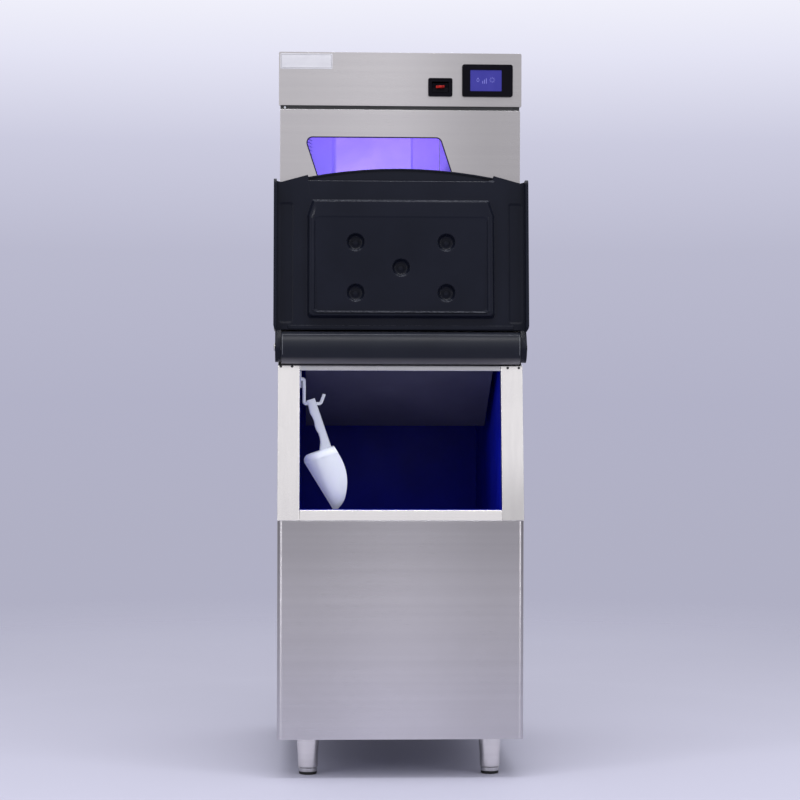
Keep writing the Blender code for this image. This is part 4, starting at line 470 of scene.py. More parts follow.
def makeBayMaterials(s):
    tree, shader = newMaterial("lampCover", Base_Color=(0.6, 0.5, 1, 1), Roughness=0.4,
                               Emission_Strength=s["lampStrength"])
    diodes = addNode(tree, "ShaderNodeTexWave", wave_type="BANDS", bands_direction="X")
    setInputs(diodes, Scale=9.0)
    wire(tree, objectPlace(tree), diodes.inputs["Vector"])
    glow = mixColour(tree, diodes.outputs["Fac"], tuple(0.6 * v for v in s["lampColour"]), s["lampColour"])
    glowWith(tree, shader, glow)

    # the curtain glows where the lamp behind it shines through
    tree, shader = newMaterial("curtainGlow", Base_Color=(0.5, 0.4, 0.95, 1), Emission_Strength=s["glowStrength"])
    axes = axesOf(tree, objectPlace(tree))
    across = makeRamp(tree, spread(tree, axes["X"], -0.23, 0.105), [(share, s[tone]) for share, tone in s["curtain"]])
    smudge = smudgeOf(tree, 11.0, 0.5)
    clouded = mixColour(tree, smudge, across, s["glowLeft"])
    upper = spread(tree, axes["Z"], 1.405, 1.475, 0.0, 0.42)
    glowWith(tree, shader, mixColour(tree, upper, clouded, s["glowRight"]))
    wire(tree, spread(tree, smudge, 0.0, 0.5, 0.3, 0.5), shader.inputs["Roughness"])

    # the sheet beside the curtain glows with painted light at its inner side and falls to a painted shadow of dark blue
    # towards the low right
    tree, shader = newMaterial("sheetGlow", Base_Color=(0.04, 0.03, 0.2, 1), Roughness=0.35,
                               Emission_Strength=s["glowStrength"])
    slant = addNode(tree, "ShaderNodeVectorMath", operation="DOT_PRODUCT")
    slant.inputs[1].default_value = (0.90, 0.0, -0.43)
    wire(tree, objectPlace(tree), slant.inputs[0])
    lit = mixColour(tree, smudgeOf(tree, 11.0, 0.4), s["glowRight"], s["glowLeft"])
    shadow = spread(tree, slant.outputs["Value"], -0.512, -0.497)
    glowWith(tree, shader, mixColour(tree, shadow, lit, (0.075, 0.042, 0.52)))

    tree, shader = newMaterial("windowSheet", Base_Color=(0.93, 0.92, 1, 1), Transmission_Weight=1.0, IOR=1.46)
    wire(tree, spread(tree, smudgeOf(tree, 14.0, 0.6), 0.0, 0.6, 0.02, 0.12), shader.inputs["Roughness"])


makeBayMaterials(baySettings)


def makeScreen():
    # a lit display, a little uneven from its back light
    tree, shader = newMaterial("screenGlow", Base_Color=(0.02, 0.02, 0.10, 1), Roughness=0.12,
                               Emission_Strength=0.62, Specular_IOR_Level=0.06)
    glow = mixColour(tree, smudgeOf(tree, 26.0, 0.8), (0.046, 0.042, 0.33), (0.062, 0.056, 0.38))
    glowWith(tree, shader, glow)


makeScreen()


def makeFittings():
    tree, shader = newMaterial("tinnedCopper", Metallic=1.0)
    smudge = smudgeOf(tree, 16.0, 0.8)
    colourAndRoughness(tree, shader, mixColour(tree, smudge, (0.70, 0.70, 0.72), (0.55, 0.53, 0.52)),
                       spread(tree, smudge, 0.0, 0.8, 0.18, 0.34))

    tree, shader = newMaterial("brassThread", Metallic=1.0)
    brush = useGroup(tree, "brushing", Stretch=(600, 12, 600))
    base = mixColour(tree, brush.outputs["Streaks"], (0.58, 0.40, 0.15), (0.72, 0.52, 0.22))
    # wear and painted highlight: bevelled edges are lightened
    colourAndRoughness(tree, shader, mixColour(tree, wornAndHighlightedEdge(tree, 0.8), base, (0.85, 0.68, 0.36)),
                       spread(tree, brush.outputs["Lines"], 0.3, 0.7, 0.2, 0.34))

    tree, shader = newMaterial("castAluminium", Metallic=1.0)
    grain = useGroup(tree, "grain", Scale=700.0)
    base = mixColour(tree, grain.outputs["Tone"], (0.48, 0.49, 0.50), (0.60, 0.61, 0.62))
    # wear and painted highlight: bevelled edges are lightened
    colourAndRoughness(tree, shader, mixColour(tree, wornAndHighlightedEdge(tree, 0.6), base, (0.8, 0.8, 0.81)),
                       spread(tree, grain.outputs["Height"], 0.0, 0.6, 0.36, 0.52))
    bumpFrom(tree, shader, grain.outputs["Height"], 0.0001)

    tree, shader = newMaterial("aluminiumFins", Metallic=1.0)
    brush = useGroup(tree, "brushing", Stretch=(1500, 3, 3))
    colourAndRoughness(tree, shader, mixColour(tree, brush.outputs["Streaks"], (0.52, 0.53, 0.55), (0.70, 0.71, 0.73)),
                       spread(tree, brush.outputs["Lines"], 0.3, 0.7, 0.3, 0.5))
    bumpFrom(tree, shader, brush.outputs["Lines"], 0.0005)


makeFittings()
print("materials made,", len(materials))


# every CAD piece gets softened edges and its own finish; width is the bevel in metres
dressing = {
    "brushed_steel": ("headSteel", 0.0006),
    "polished_steel": ("railSteel", 0.0008),
    "zinc_sheet": ("zincCoat", 0.0004),
    "foot_steel": ("footSteel", 0.0004),
    "dark_sheet": ("blackPaint", 0.0004),
    "door_plastic": ("doorMoulding", 0.0014),
    "liner_plastic": ("tubLiner", 0.0020),
    "baffle_plastic": ("baffleSheet", 0.0008),
    "white_plastic": ("milkyPlasticPaintedGlow", 0.0007),
    "insulation_foam": ("foamBoard", 0.0),
    "foot_rubber": ("padRubber", 0.0006),
    "window_plastic": ("windowSheet", 0.0),
    "switch_plastic": ("switchShell", 0.0008),
    "screen_glass": ("screenGlow", 0.0002),
    "ice_mould": ("tinnedCopper", 0.0),
    "machine_black": ("blackEnamel", 0.0008),
    "motor_metal": ("castAluminium", 0.0008),
    "fins": ("aluminiumFins", 0.0),
    "brass_fitting": ("brassThread", 0.0005),
    "bay_light": ("lampCover", 0.0005),
}
dressingOf = {
    "bin_shell": ("wrapSteel", 0.0008),
    "bin_top_deck": ("topSteel", 0.0006),
    "head_top_cover": ("topSteel", 0.0006),
    "frame_post_left": ("postSteel", 0.0010),
    "frame_post_right": ("rightPost", 0.0010),
    "frame_sill": ("railSteel", 0.0010),
    "frame_lintel": ("lintelSteel", 0.0010),
    "pivot_pin_left": ("pinSteel", 0.0006),
    "pivot_pin_right": ("pinSteel", 0.0006),
    "water_curtain": ("curtainGlow", 0.0005),
    "scoop": ("milkyPlasticPaintedGlow", 0.0009),
    "door_roll": ("rollMoulding", 0.0014),
}
turnedParts = ("leg_", "foot_", "pad_")  # drawn afresh further down


def openMesh(mesh):
    shape = bmesh.new()
    shape.from_mesh(mesh)
    bmesh.ops.remove_doubles(shape, verts=shape.verts, dist=0.00002)
    return shape


def closeMesh(shape, mesh):
    shape.to_mesh(mesh)
    shape.free()
    mesh.update()


def bevelEdges(shape, edges, width, segments, clamp=True):
    made = bmesh.ops.bevel(shape, geom=edges, offset=width, segments=segments, profile=0.5, affect="EDGES",
                           clamp_overlap=clamp)
    return made["faces"]


def softenMesh(mesh, width, angle=33, segments=2):
    # joins flat triangles in pairs, then rounds every edge sharper than the angle and marks the rounding
    shape = openMesh(mesh)
    flat = math.radians(0.6)
    bmesh.ops.join_triangles(shape, faces=shape.faces, angle_face_threshold=flat, angle_shape_threshold=math.pi)
    mark = shape.faces.layers.float.new("edge")
    if width:
        sharp = [e for e in shape.edges if len(e.link_faces) == 2 and e.calc_face_angle(0) > math.radians(angle)]
        for face in bevelEdges(shape, sharp, width, segments):
            face[mark] = 1.0
    for face in shape.faces:
        face.smooth = True
    closeMesh(shape, mesh)


def dress(node, finish, width, reshape=None):
    mesh = frame["nodes"][node].data.copy()
    mesh.name = node + "Mesh"
    if reshape:
        reshape(mesh)
    else:
        softenMesh(mesh, width)
    piece = addObject(node + ".dressed", mesh)
    mesh.materials.clear()
    mesh.materials.append(materials[finish])
    normals = piece.modifiers.new("faceNormals", "WEIGHTED_NORMAL")
    normals.keep_sharp = True
    normals.weight = 100
    if not width:
        mesh.set_sharp_from_angle(angle=math.radians(33))
    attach(piece, bodyOf[node])
    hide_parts(node)
    return piece


# outlines and profiles with an arc in place of each corner
def cornerArc(corner, before, after, radius, steps):
    corner, before, after = (Vector(point) for point in (corner, before, after))
    inward, outward = (before - corner).normalized(), (after - corner).normalized()
    half = inward.angle(outward) / 2
    start, end = (corner + way * radius / math.tan(half) for way in (inward, outward))
    centre = corner + (inward + outward).normalized() * radius / math.sin(half)
    first = math.atan2(*reversed(start - centre))
    turn = (math.atan2(*reversed(end - centre)) - first + math.pi) % math.tau - math.pi
    angles = [first + turn * k / steps for k in range(steps + 1)]
    return [centre + Vector((math.cos(angle), math.sin(angle))) * radius for angle in angles]


def roundedOutline(corners, radius, steps=5):
    path = []
    for i, corner in enumerate(corners):
        path += cornerArc(corner, corners[i - 1], corners[(i + 1) % len(corners)], radius, steps)
    return path


def roundedProfile(profile, bends, steps=5):
    path = [Vector(profile[0])]
    for i, radius in enumerate(bends, 1):
        path += cornerArc(profile[i], profile[i - 1], profile[i + 1], radius, steps)
    return path + [Vector(profile[-1])]


def circlePoints(x, y, radius, count):
    angles = [math.tau * k / count for k in range(count)]
    return [(x + radius * math.cos(angle), y + radius * math.sin(angle)) for angle in angles]


def bridgeRings(shape, rings):
    # faces from each closed ring of points to the next
    loops = [[shape.verts.new(point) for point in ring] for ring in rings]
    faces = []
    for near, far in zip(loops, loops[1:]):
        for i in range(len(near)):
            j = (i + 1) % len(near)
            faces.append(shape.faces.new((near[i], near[j], far[j], far[i])))
    return loops[0], loops[-1], faces


# the bin door: its moulded inner side is drawn afresh, in metres across it, along it from the hinge and out from it
doorSettings = {
    "pivot": (0, -0.386549, 0.978),
    "lean": 5.0,
    "skin": 0.016,  # level of the inner skin
    "near": 0.0003,  # what is this close to the skin lies on it
    "foot": 0.039,  # where the slab starts
    "plateau": dict(half=0.2135, low=0.0655, high=0.3375, height=0.014, topSide=0.0115, topCut=0.0345, lowCut=0.0055),
    "recess": dict(half=0.1985, low=0.0775, high=0.2985, shallow=0.0006, deep=0.0078,
                   topSide=0.0060, topCut=0.0060, lowCut=0.0060),
    "corner": 0.0050,  # rounding of both outlines
    # profiles: way inward and rise or depth, with the rounding of their two bends
    "wall": dict(profile=[(-0.006, 0), (0, 0), (0.0048, 0.014), (0.0115, 0.014)], bends=(0.0022, 0.0030)),
    "pressed": dict(profile=[(-0.0035, 0), (0, 0), (0.0036, 0.0078), (0.0090, 0.0078)], bends=(0.0022, 0.0020)),
    "dimples": [(0, 0.1810), (-0.1035, 0.2388), (0.1035, 0.2388), (-0.1035, 0.1233), (0.1035, 0.1233)],
    "dimpleShape": [(0.0222, 0.0), (0.0211, 0.0003), (0.0203, 0.0010), (0.0197, 0.0021), (0.0186, 0.0065),
                    (0.0166, 0.0106), (0.0138, 0.0130), (0.0110, 0.0136), (0.0082, 0.0130), (0.0055, 0.0117),
                    (0.0028, 0.0108)],
    "dimpleSides": 36,
    "band": dict(inside=0.2450, outside=0.2790, low=0.0530, high=0.3320, corner=0.0080, bends=(0.0040, 0.0040),
                 profile=[(-0.0010, 0), (0, 0), (0.0050, -0.0018), (0.0075, -0.0018)]),
    "ledge": dict(half=0.2580, low=0.0403, high=0.0492, corner=0.0016, bends=(0.0004, 0.0009),
                  profile=[(-0.0008, 0), (0, 0), (0.0010, 0.0011), (0.0030, 0.0011)]),
    # the CAD's own relief, which makes way: plateau first, then ledge
    "oldPlateau": dict(half=0.2137, low=0.07, high=0.35, out=0.005),
    "oldLedge": dict(half=0.2830, high=0.072, drop=0.0014),
    # where the photograph has the top edge lower, and how its points are told apart
    "lowered": dict(edge=0.0070, shoulder=0.0065, archEnd=0.0025, crown=0.0010),
    "top": dict(low=0.375, shoulder=0.2135, corner=0.2115, crest=0.3965, archEnd=0.2124, arch=0.3915, crown=0.213),
    "taper": dict(low=0.0325, high=0.047, half=0.2880, inward=0.0055, reach=0.014),  # the slab narrows towards its foot
    "topEdge": dict(low=0.380, high=0.386, half=0.2123, width=0.0026),
    "edges": 0.0014,
    # an edge that looks up gets a painted highlight, the stronger the more it looks up; flat is what still counts as
    # the skin
    "light": dict(gain=1.15, least=0.05, flat=0.985),
}


def reshapeDoor(mesh, s=doorSettings):
    lean = math.radians(s["lean"])
    sine, cosine = math.sin(lean), math.cos(lean)
    pivot, skin = Vector(s["pivot"]), s["skin"]
    shape = openMesh(mesh)
    for v in shape.verts:
        back, up = v.co.y - pivot.y, v.co.z - pivot.z
        v.co = (v.co.x, back * sine + up * cosine, up * sine - back * cosine)
    old, shelf = s["oldPlateau"], s["oldLedge"]

    def onSkin(v):
        return abs(v.co.z - skin) < s["near"]

    def redrawn(face):
        across, along, out = face.calc_center_median()
        across = abs(across)
        flat = along > s["foot"] and all(onSkin(v) for v in face.verts)
        raised = across < old["half"] and old["low"] < along < old["high"] and out > old["out"]
        onShelf = across < shelf["half"] and s["foot"] < along < shelf["high"] and out > skin - shelf["drop"]
        return flat or raised or onShelf

    bmesh.ops.delete(shape, geom=[f for f in shape.faces if redrawn(f)], context="FACES")
    lowered, edge, taper = s["lowered"], s["top"], s["taper"]
    for v in shape.verts:
        across, along = abs(v.co.x), v.co.y
        if along > edge["low"]:
            if across > edge["shoulder"] or (across > edge["corner"] and along > edge["crest"]):
                v.co.y -= lowered["shoulder"]
            elif across > edge["archEnd"]:
                v.co.y -= lowered["archEnd"]
            elif along < edge["arch"]:
                v.co.y -= lowered["edge"]
            else:
                share = (across / edge["crown"]) ** 2
                v.co.y += lowered["crown"] * (1 - share) - lowered["archEnd"] * share
        elif taper["low"] < along < taper["high"] and across > taper["half"]:
            inward = taper["inward"] * ((taper["high"] - along) / taper["reach"]) ** 2
            v.co.x = math.copysign(across - inward, v.co.x)
    rim = [e for e in shape.edges if e.is_boundary]
    made = []

    def addRings(rings):
        first, last, faces = bridgeRings(shape, rings)
        made.extend(faces)
        return first, last

    def loopEdges(loop):
        return [shape.edges.get((loop[i - 1], loop[i])) for i in range(len(loop))]

    def fillBetween(edges):
        bmesh.ops.triangle_fill(shape, use_beauty=True, use_dissolve=False, edges=edges)

    def cutOutline(form, inset):
        # a rectangle with its four corners cut off
        half, foot, head = form["half"] - inset, form["low"] + inset, form["high"] - inset
        lowCut, topCut, topSide = form["lowCut"], form["topCut"], form["topSide"]
        corners = [(lowCut - half, foot), (half - lowCut, foot), (half, foot + lowCut), (half, head - topCut),
                   (half - topSide, head), (topSide - half, head), (-half, head - topCut), (-half, foot + lowCut)]
        return roundedOutline(corners, s["corner"])

    plateau, recess = s["plateau"], s["recess"]
    top = skin + plateau["height"]
    slope = (recess["deep"] - recess["shallow"]) / (recess["high"] - recess["low"])

    def recessFloor(along):
        return recess["shallow"] + slope * (recess["high"] - along)

    rings = [[(x, u, skin + rise) for x, u in cutOutline(plateau, inset)]
             for inset, rise in roundedProfile(**s["wall"])]
    rings += [[(x, u, top - depth / recess["deep"] * recessFloor(u)) for x, u in cutOutline(recess, inset)]
              for inset, depth in roundedProfile(**s["pressed"])]
    plateauFoot, floorRim = addRings(rings)
    floorEdges = loopEdges(floorRim)
    shaded, sides = [], s["dimpleSides"]
    for x, u in s["dimples"]:
        rings = [[(cx, cu, top - recessFloor(cu) - depth) for cx, cu in circlePoints(x, u, radius, sides)]
                 for radius, depth in s["dimpleShape"]]
        first = len(made)
        mouth, floor = addRings(rings)
        made.append(shape.faces.new(floor))
        # only the rim of a dimple, three bands of faces, and its middle get the painted highlight
        shaded += made[first + 3 * sides:-2 * sides - 1]
        floorEdges += loopEdges(mouth)
    fillBetween(floorEdges)

    skinEdges = rim + loopEdges(plateauFoot)
    ledge, band = s["ledge"], s["band"]
    for left, right, form in ((-ledge["half"], ledge["half"], ledge), (-band["outside"], -band["inside"], band),
                              (band["inside"], band["outside"], band)):
        rings = []
        for inset, rise in roundedProfile(form["profile"], form["bends"], 4):
            low, high = form["low"] + inset, form["high"] - inset
            corners = [(left + inset, low), (right - inset, low), (right - inset, high), (left + inset, high)]
            outline = roundedOutline(corners, max(form["corner"] - inset, 0.0005))
            rings.append([(x, u, skin + rise) for x, u in outline])
        foot, head = addRings(rings)
        made.append(shape.faces.new(head))
        skinEdges += loopEdges(foot)
    fillBetween(skinEdges)
    bmesh.ops.recalc_face_normals(shape, faces=shape.faces)

    # the rounding: wide along the skin's straight top edge, finer elsewhere, and none on the drawn relief
    mark = shape.faces.layers.float.new("edge")
    drawn, topEdge, light = set(made), s["topEdge"], s["light"]

    def onTopEdge(v):
        return onSkin(v) and topEdge["low"] < v.co.y < topEdge["high"] and abs(v.co.x) < topEdge["half"]

    straight = [e for e in shape.edges if all(onTopEdge(v) for v in e.verts)]
    rounded = bevelEdges(shape, straight, topEdge["width"], 4, False)
    shape.normal_update()
    sharp = [e for e in shape.edges if len(e.link_faces) == 2 and e.calc_face_angle(0) > math.radians(33)
             and not any(f in drawn for f in e.link_faces)]
    rounded += bevelEdges(shape, sharp, s["edges"], 3)
    shape.normal_update()
    # painted highlight: drawn and rounded faces that look up the door take the pale edge colour
    for face in [f for f in made + rounded if f.is_valid]:
        if face.normal.z < light["flat"]:
            face[mark] = max(light["least"], min(1.0, light["gain"] * face.normal.y))
    for face in shaded:
        if face.is_valid:
            face[mark] = 0.0
    for face in shape.faces:
        face.smooth = True
    for v in shape.verts:
        across, along, out = v.co
        v.co = (across, pivot.y + along * sine - out * cosine, pivot.z + along * cosine + out * sine)
    closeMesh(shape, mesh)


# the scoop: its handle stays, and its bowl is drawn afresh with a rounded back
scoopSettings = {
    "hang": (-0.202, -0.319549, 0.8481),
    "tilt": 18.0,
    "keep": 0.1060,  # the handle's length
    "start": 0.1066,
    "length": 0.1404,
    "rim": 0.0187,
    "swell": 0.64,  # the rim rises along the middle and falls to the tip, as shares of its height
    "fall": 1.39,
    "tip": 0.14,  # this last share of the length drops further
    "tipDrop": 0.009,
    "bottom": 0.062,
    "rise": 0.55,  # share by which the bottom comes up at the tip
    "half": 0.059,
    "blunt": 0.2,  # share of the width that the tip keeps
    "wall": 0.0026,
    "back": 0.0190,  # rounding of the closed end
    "thickening": 0.03,  # the closed end's wall thins out over this length
    "square": 0.72,  # power of the section: 1 is an ellipse, less is squarer
    "sections": 18,
}


def reshapeScoop(mesh, s=scoopSettings):
    tilt = math.radians(s["tilt"])
    sine, cosine = math.sin(tilt), math.cos(tilt)
    hang = Vector(s["hang"])
    shape = openMesh(mesh)

    def inBowl(v):
        return (v.co.x - hang.x) * sine - (v.co.z - hang.z) * cosine > s["keep"]

    bmesh.ops.delete(shape, geom=[f for f in shape.faces if all(inBowl(v) for v in f.verts)], context="FACES")

    def addArc(station, wall, steps=26):
        t, along, inset = station
        t = max(t, along / s["length"])
        along, inset = s["start"] + along + wall * (1 - min(1, along / s["thickening"])), inset + wall
        drop = s["tipDrop"] * max(0, 1 - (1 - t) / s["tip"]) ** 2
        rim = s["rim"] * (1 + s["swell"] * math.sin(math.pi * t) - s["fall"] * t ** 2.5) - drop
        bottom = s["bottom"] * (s["rise"] * t - 1) + inset
        half = s["half"] * ((1 - s["blunt"]) * math.sqrt(max(1 - t ** 3.2, 0.0)) + s["blunt"]) - inset
        points = []
        for i in range(steps + 1):
            angle = math.pi * i / steps
            across = rim - (rim - bottom) * abs(math.sin(angle)) ** s["square"]
            points.append(shape.verts.new((hang.x + along * sine + across * cosine, hang.y + half * math.cos(angle),
                                           hang.z - along * cosine + across * sine)))
        return points

    # share of the length, way along and inset of each section: a quarter turn at the back, then even steps
    quarter, count = [math.radians(15 * k) for k in range(7)], s["sections"]
    stations = [(0.0, s["back"] * (1 - math.cos(turn)), s["back"] * (1 - math.sin(turn))) for turn in quarter]
    stations += [(k / count, s["length"] * k / count, 0.0) for k in range(2, count + 1)]
    outer = [addArc(station, 0.0) for station in stations]
    inner = [addArc(station, s["wall"]) for station in stations]
    for arcs in (outer, inner):
        for near, far in zip(arcs, arcs[1:]):
            for i in range(len(near) - 1):
                shape.faces.new((near[i], near[i + 1], far[i + 1], far[i]))
        shape.faces.new(arcs[0])
    for k in range(len(outer) - 1):
        for end in (0, -1):
            shape.faces.new((outer[k][end], outer[k + 1][end], inner[k + 1][end], inner[k][end]))
    shape.faces.new((outer[0][0], outer[0][-1], inner[0][-1], inner[0][0]))
    for i in range(len(outer[-1]) - 1):
        shape.faces.new((outer[-1][i], outer[-1][i + 1], inner[-1][i + 1], inner[-1][i]))
    bmesh.ops.recalc_face_normals(shape, faces=shape.faces)
    closeMesh(shape, mesh)
    softenMesh(mesh, 0.0007, 40)


reshapes = {"bin_door": reshapeDoor, "scoop": reshapeScoop}
dressed = [node for node in frame["nodes"] if not node.startswith(turnedParts)]
for node in dressed:
    finish, width = dressingOf.get(node, dressing[slotOf[node]])
    dress(node, finish, width, reshapes.get(node))
print("pieces dressed,", len(dressed))


# added pieces
def addPiece(name, shape, finish, body, smooth=None):
    mesh = bpy.data.meshes.new(name + "Mesh")
    bmesh.ops.recalc_face_normals(shape, faces=shape.faces)
    shape.to_mesh(mesh)
    shape.free()
    if smooth is not None:
        for face in mesh.polygons:
            face.use_smooth = True
        mesh.set_sharp_from_angle(angle=math.radians(smooth))
    piece = addObject(name, mesh)
    mesh.materials.append(materials[finish])
    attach(piece, body)
    return piece


def addWire(name, routes, radius, resolution, finish, body):
    curve = bpy.data.curves.new(name + "Curve", "CURVE")
    curve.dimensions = "3D"
    curve.bevel_depth = radius
    curve.bevel_resolution = resolution
    curve.use_fill_caps = True
    for route in routes:
        spline = curve.splines.new("POLY")
        spline.points.add(len(route) - 1)
        for point, place in zip(spline.points, route):
            point.co = (*place, 1)
    curve.materials.append(materials[finish])
    piece = addObject(name, curve)
    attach(piece, body)


def loftRings(rings, closed=True):
    shape = bmesh.new()
    first, last, faces = bridgeRings(shape, rings)
    if closed:
        shape.faces.new(first)
        shape.faces.new(last)
    return shape


def roundedRing(centre, half, radius, y, steps=6):
    # a rounded rectangle standing in the plane of the front
    ring = []
    for i, (sx, sz) in enumerate(((1, 1), (-1, 1), (-1, -1), (1, -1))):
        cx, cz = centre[0] + sx * (half[0] - radius), centre[1] + sz * (half[1] - radius)
        for k in range(steps + 1):
            angle = math.radians(90 * (i + k / steps))
            ring.append((cx + radius * math.cos(angle), y, cz + radius * math.sin(angle)))
    return ring


# name plate, left bare
plateSettings = {
    "centre": (-0.2167, 1.6385),
    "half": (0.0598, 0.0176),
    "radius": 0.003,
    "thick": 0.0007,
    "border": 0.0022,
    "groove": 0.0005,
    "bevel": 0.4,  # shares of the thickness
    "sunk": 0.35,
}


def makePlate(s):
    tree, shader = newMaterial("platePaint", Metallic=0.15, Coat_Weight=0.2)
    brush = useGroup(tree, "brushing", Stretch=(3, 3, 500))
    base = mixColour(tree, brush.outputs["Streaks"], (0.58, 0.58, 0.63), (0.64, 0.64, 0.69))
    colourAndRoughness(tree, shader, mixColour(tree, smudgeOf(tree, 20.0, 0.5), base, (0.50, 0.50, 0.56)),
                       spread(tree, brush.outputs["Lines"], 0.3, 0.7, 0.3, 0.42))
    tree, shader = newMaterial("plateBorder", Metallic=0.6)
    smudge = smudgeOf(tree, 20.0, 0.7)
    colourAndRoughness(tree, shader, mixColour(tree, smudge, (0.22, 0.22, 0.25), (0.34, 0.34, 0.37)),
                       spread(tree, smudge, 0.0, 0.7, 0.35, 0.5))
    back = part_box("control_panel")[0].y
    face = back - s["thick"]
    bevel, edge, groove, sunk = s["thick"] * s["bevel"], s["border"], s["groove"], face + s["thick"] * s["sunk"]
    rings = []
    for inset, y in ((0, back - 0.00002), (0, face + bevel), (bevel, face), (edge, face), (edge + groove * 0.3, sunk),
                     (edge + groove, sunk), (edge + groove * 1.3, face)):
        half = (s["half"][0] - inset, s["half"][1] - inset)
        rings.append(roundedRing(s["centre"], half, max(s["radius"] - inset, 0.0006), y))
    plate = addPiece("namePlate", loftRings(rings), "platePaint", "cabinet", 40)
    plate.data.materials.append(materials["plateBorder"])
    count = len(rings[0])
    for face in plate.data.polygons:
        if 3 * count <= face.index < 6 * count:  # the groove
            face.material_index = 1


makePlate(plateSettings)

# lens of the lit switch
lampSettings = {"centre": (0.0915, 1.5818), "half": (0.0098, 0.0030), "radius": 0.0012, "proud": 0.0005}


def makeSwitchLamp(s):
    tree, shader = newMaterial("redLens", Base_Color=(0.10, 0.004, 0.004, 1), Roughness=0.25,
                               Emission_Strength=0.38, Specular_IOR_Level=0.1)
    hot = spread(tree, noise(tree, objectPlace(tree), 210.0, 2.0), 0.44, 0.60)
    glowWith(tree, shader, mixColour(tree, hot, (0.10, 0.002, 0.003), (0.85, 0.04, 0.03)))
    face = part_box("switch_rocker")[0].y
    rings = []
    for inset, y in ((0, 0.003), (0, -s["proud"] * 0.4), (0.0004, -s["proud"])):
        half = (s["half"][0] - inset, s["half"][1] - inset)
        rings.append(roundedRing(s["centre"], half, s["radius"], face + y))
    addPiece("switchLens", loftRings(rings), "redLens", "rocker", 40)


makeSwitchLamp(lampSettings)
print("plate and switch lens made")


# turned feet, with many more sides than the CAD's
def turnedShape(profile, centre, sides=56):
    rings = [[(x, y, z) for x, y in circlePoints(centre.x, centre.y, radius, sides)] for radius, z in profile]
    return loftRings(rings)


footSettings = {
    "leg": [(0.0218, 0.0158), (0.0226, 0.0165), (0.0229, 0.0190), (0.0230, 0.0460), (0.0250, 0.0698), (0.0250, 0.0897)],
    "foot": [(0.0206, 0.0062), (0.0210, 0.0067), (0.0210, 0.0141), (0.0205, 0.0147), (0.0165, 0.0157), (0.0072, 0.0158),
             (0.0072, 0.0600)],
    "pad": [(0.0192, 0.0), (0.0200, 0.0004), (0.0203, 0.0014), (0.0203, 0.0052), (0.0199, 0.0060)],
}


def makeFeet(s):
    for corner in ("front_left", "front_right", "rear_left", "rear_right"):
        for part, finish in (("leg", "legSteel"), ("foot", "footSteel"), ("pad", "padRubber")):
            node = part + "_" + corner
            low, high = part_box(node)
            shape = turnedShape(s[part], (low + high) / 2)
            piece = addPiece(node + ".turned", shape, finish, bodyOf[node], 28)
            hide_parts(node)


# the black seal in the gap of the head, which also stands in for the shade in that gap, the edge trim of the window and
# the sheet beside the curtain, lit by painted light
headSettings = {
    "seal": dict(low=(-0.2755, -0.3290, 1.5283), high=(0.2755, -0.3190, 1.5368)),
    "window": dict(left=-0.22120, width=0.3141, top=1.465, height=0.240, slant=0.33, radius=0.014,
                   outside=-0.0006, trim=0.0020, proud=0.0004, seat=0.0008, lip=0.0015),
    "sheet": dict(left=0.0920, right=0.1850, low=1.2120, high=1.4900, y=-0.3205, thick=0.0016),
    "screws": [(-0.27319, -0.37440, 0.93474), (-0.24766, -0.37438, 0.93483), (0.24594, -0.37468, 0.93273),
               (0.27150, -0.37467, 0.93281)],
    "screwTilt": 8.0,  # the frame leans back
    "screwHead": [(0.0030, 0.0006), (0.0030, -0.0002), (0.0024, -0.0005), (0.0012, -0.0005), (0.0006, -0.0001)],
    "caps": [((-0.2660, -0.3289, 1.5325), "milkyPlasticPaintedGlow", "white_plastic"),
             ((0.2630, -0.3289, 1.5325), "blackPaint", "dark_sheet")],
    "capHead": [(0.0026, 0.0004), (0.0026, -0.0003), (0.0020, -0.0009), (0.0008, -0.0011)],
}


def boxShape(low, high, width):
    shape = bmesh.new()
    bmesh.ops.create_cube(shape, size=1.0)
    low, high = Vector(low), Vector(high)
    for v in shape.verts:
        v.co = [low[i] + (v.co[i] + 0.5) * (high[i] - low[i]) for i in range(3)]
    bmesh.ops.bevel(shape, geom=shape.edges[:], offset=width, segments=3, profile=0.5, affect="EDGES")
    return shape


def windowCorners(s, inset):
    # a slanted outline, moved inward on all its sides
    slope = math.sqrt(1 + s["slant"] ** 2)
    head, foot = s["top"] - inset, s["top"] - s["height"] + inset

    def side(start, z):
        return start + s["slant"] * (s["top"] - z)

    left, right = s["left"] + inset * slope, s["left"] + s["width"] - inset * slope
    return [(side(left, foot), foot), (side(right, foot), foot), (side(right, head), head), (side(left, head), head)]


def roundHead(seat, tilt, profile, sides):
    # a low round head; its profile gives the radius of each ring and its depth below the seat
    tilt = math.radians(tilt)
    out, up = Vector((0, -math.cos(tilt), math.sin(tilt))), Vector((0, math.sin(tilt), math.cos(tilt)))
    rings = [[Vector(seat) + Vector((x, 0, 0)) + up * z - out * depth for x, z in circlePoints(0, 0, radius, sides)]
             for radius, depth in profile]
    return loftRings(rings)


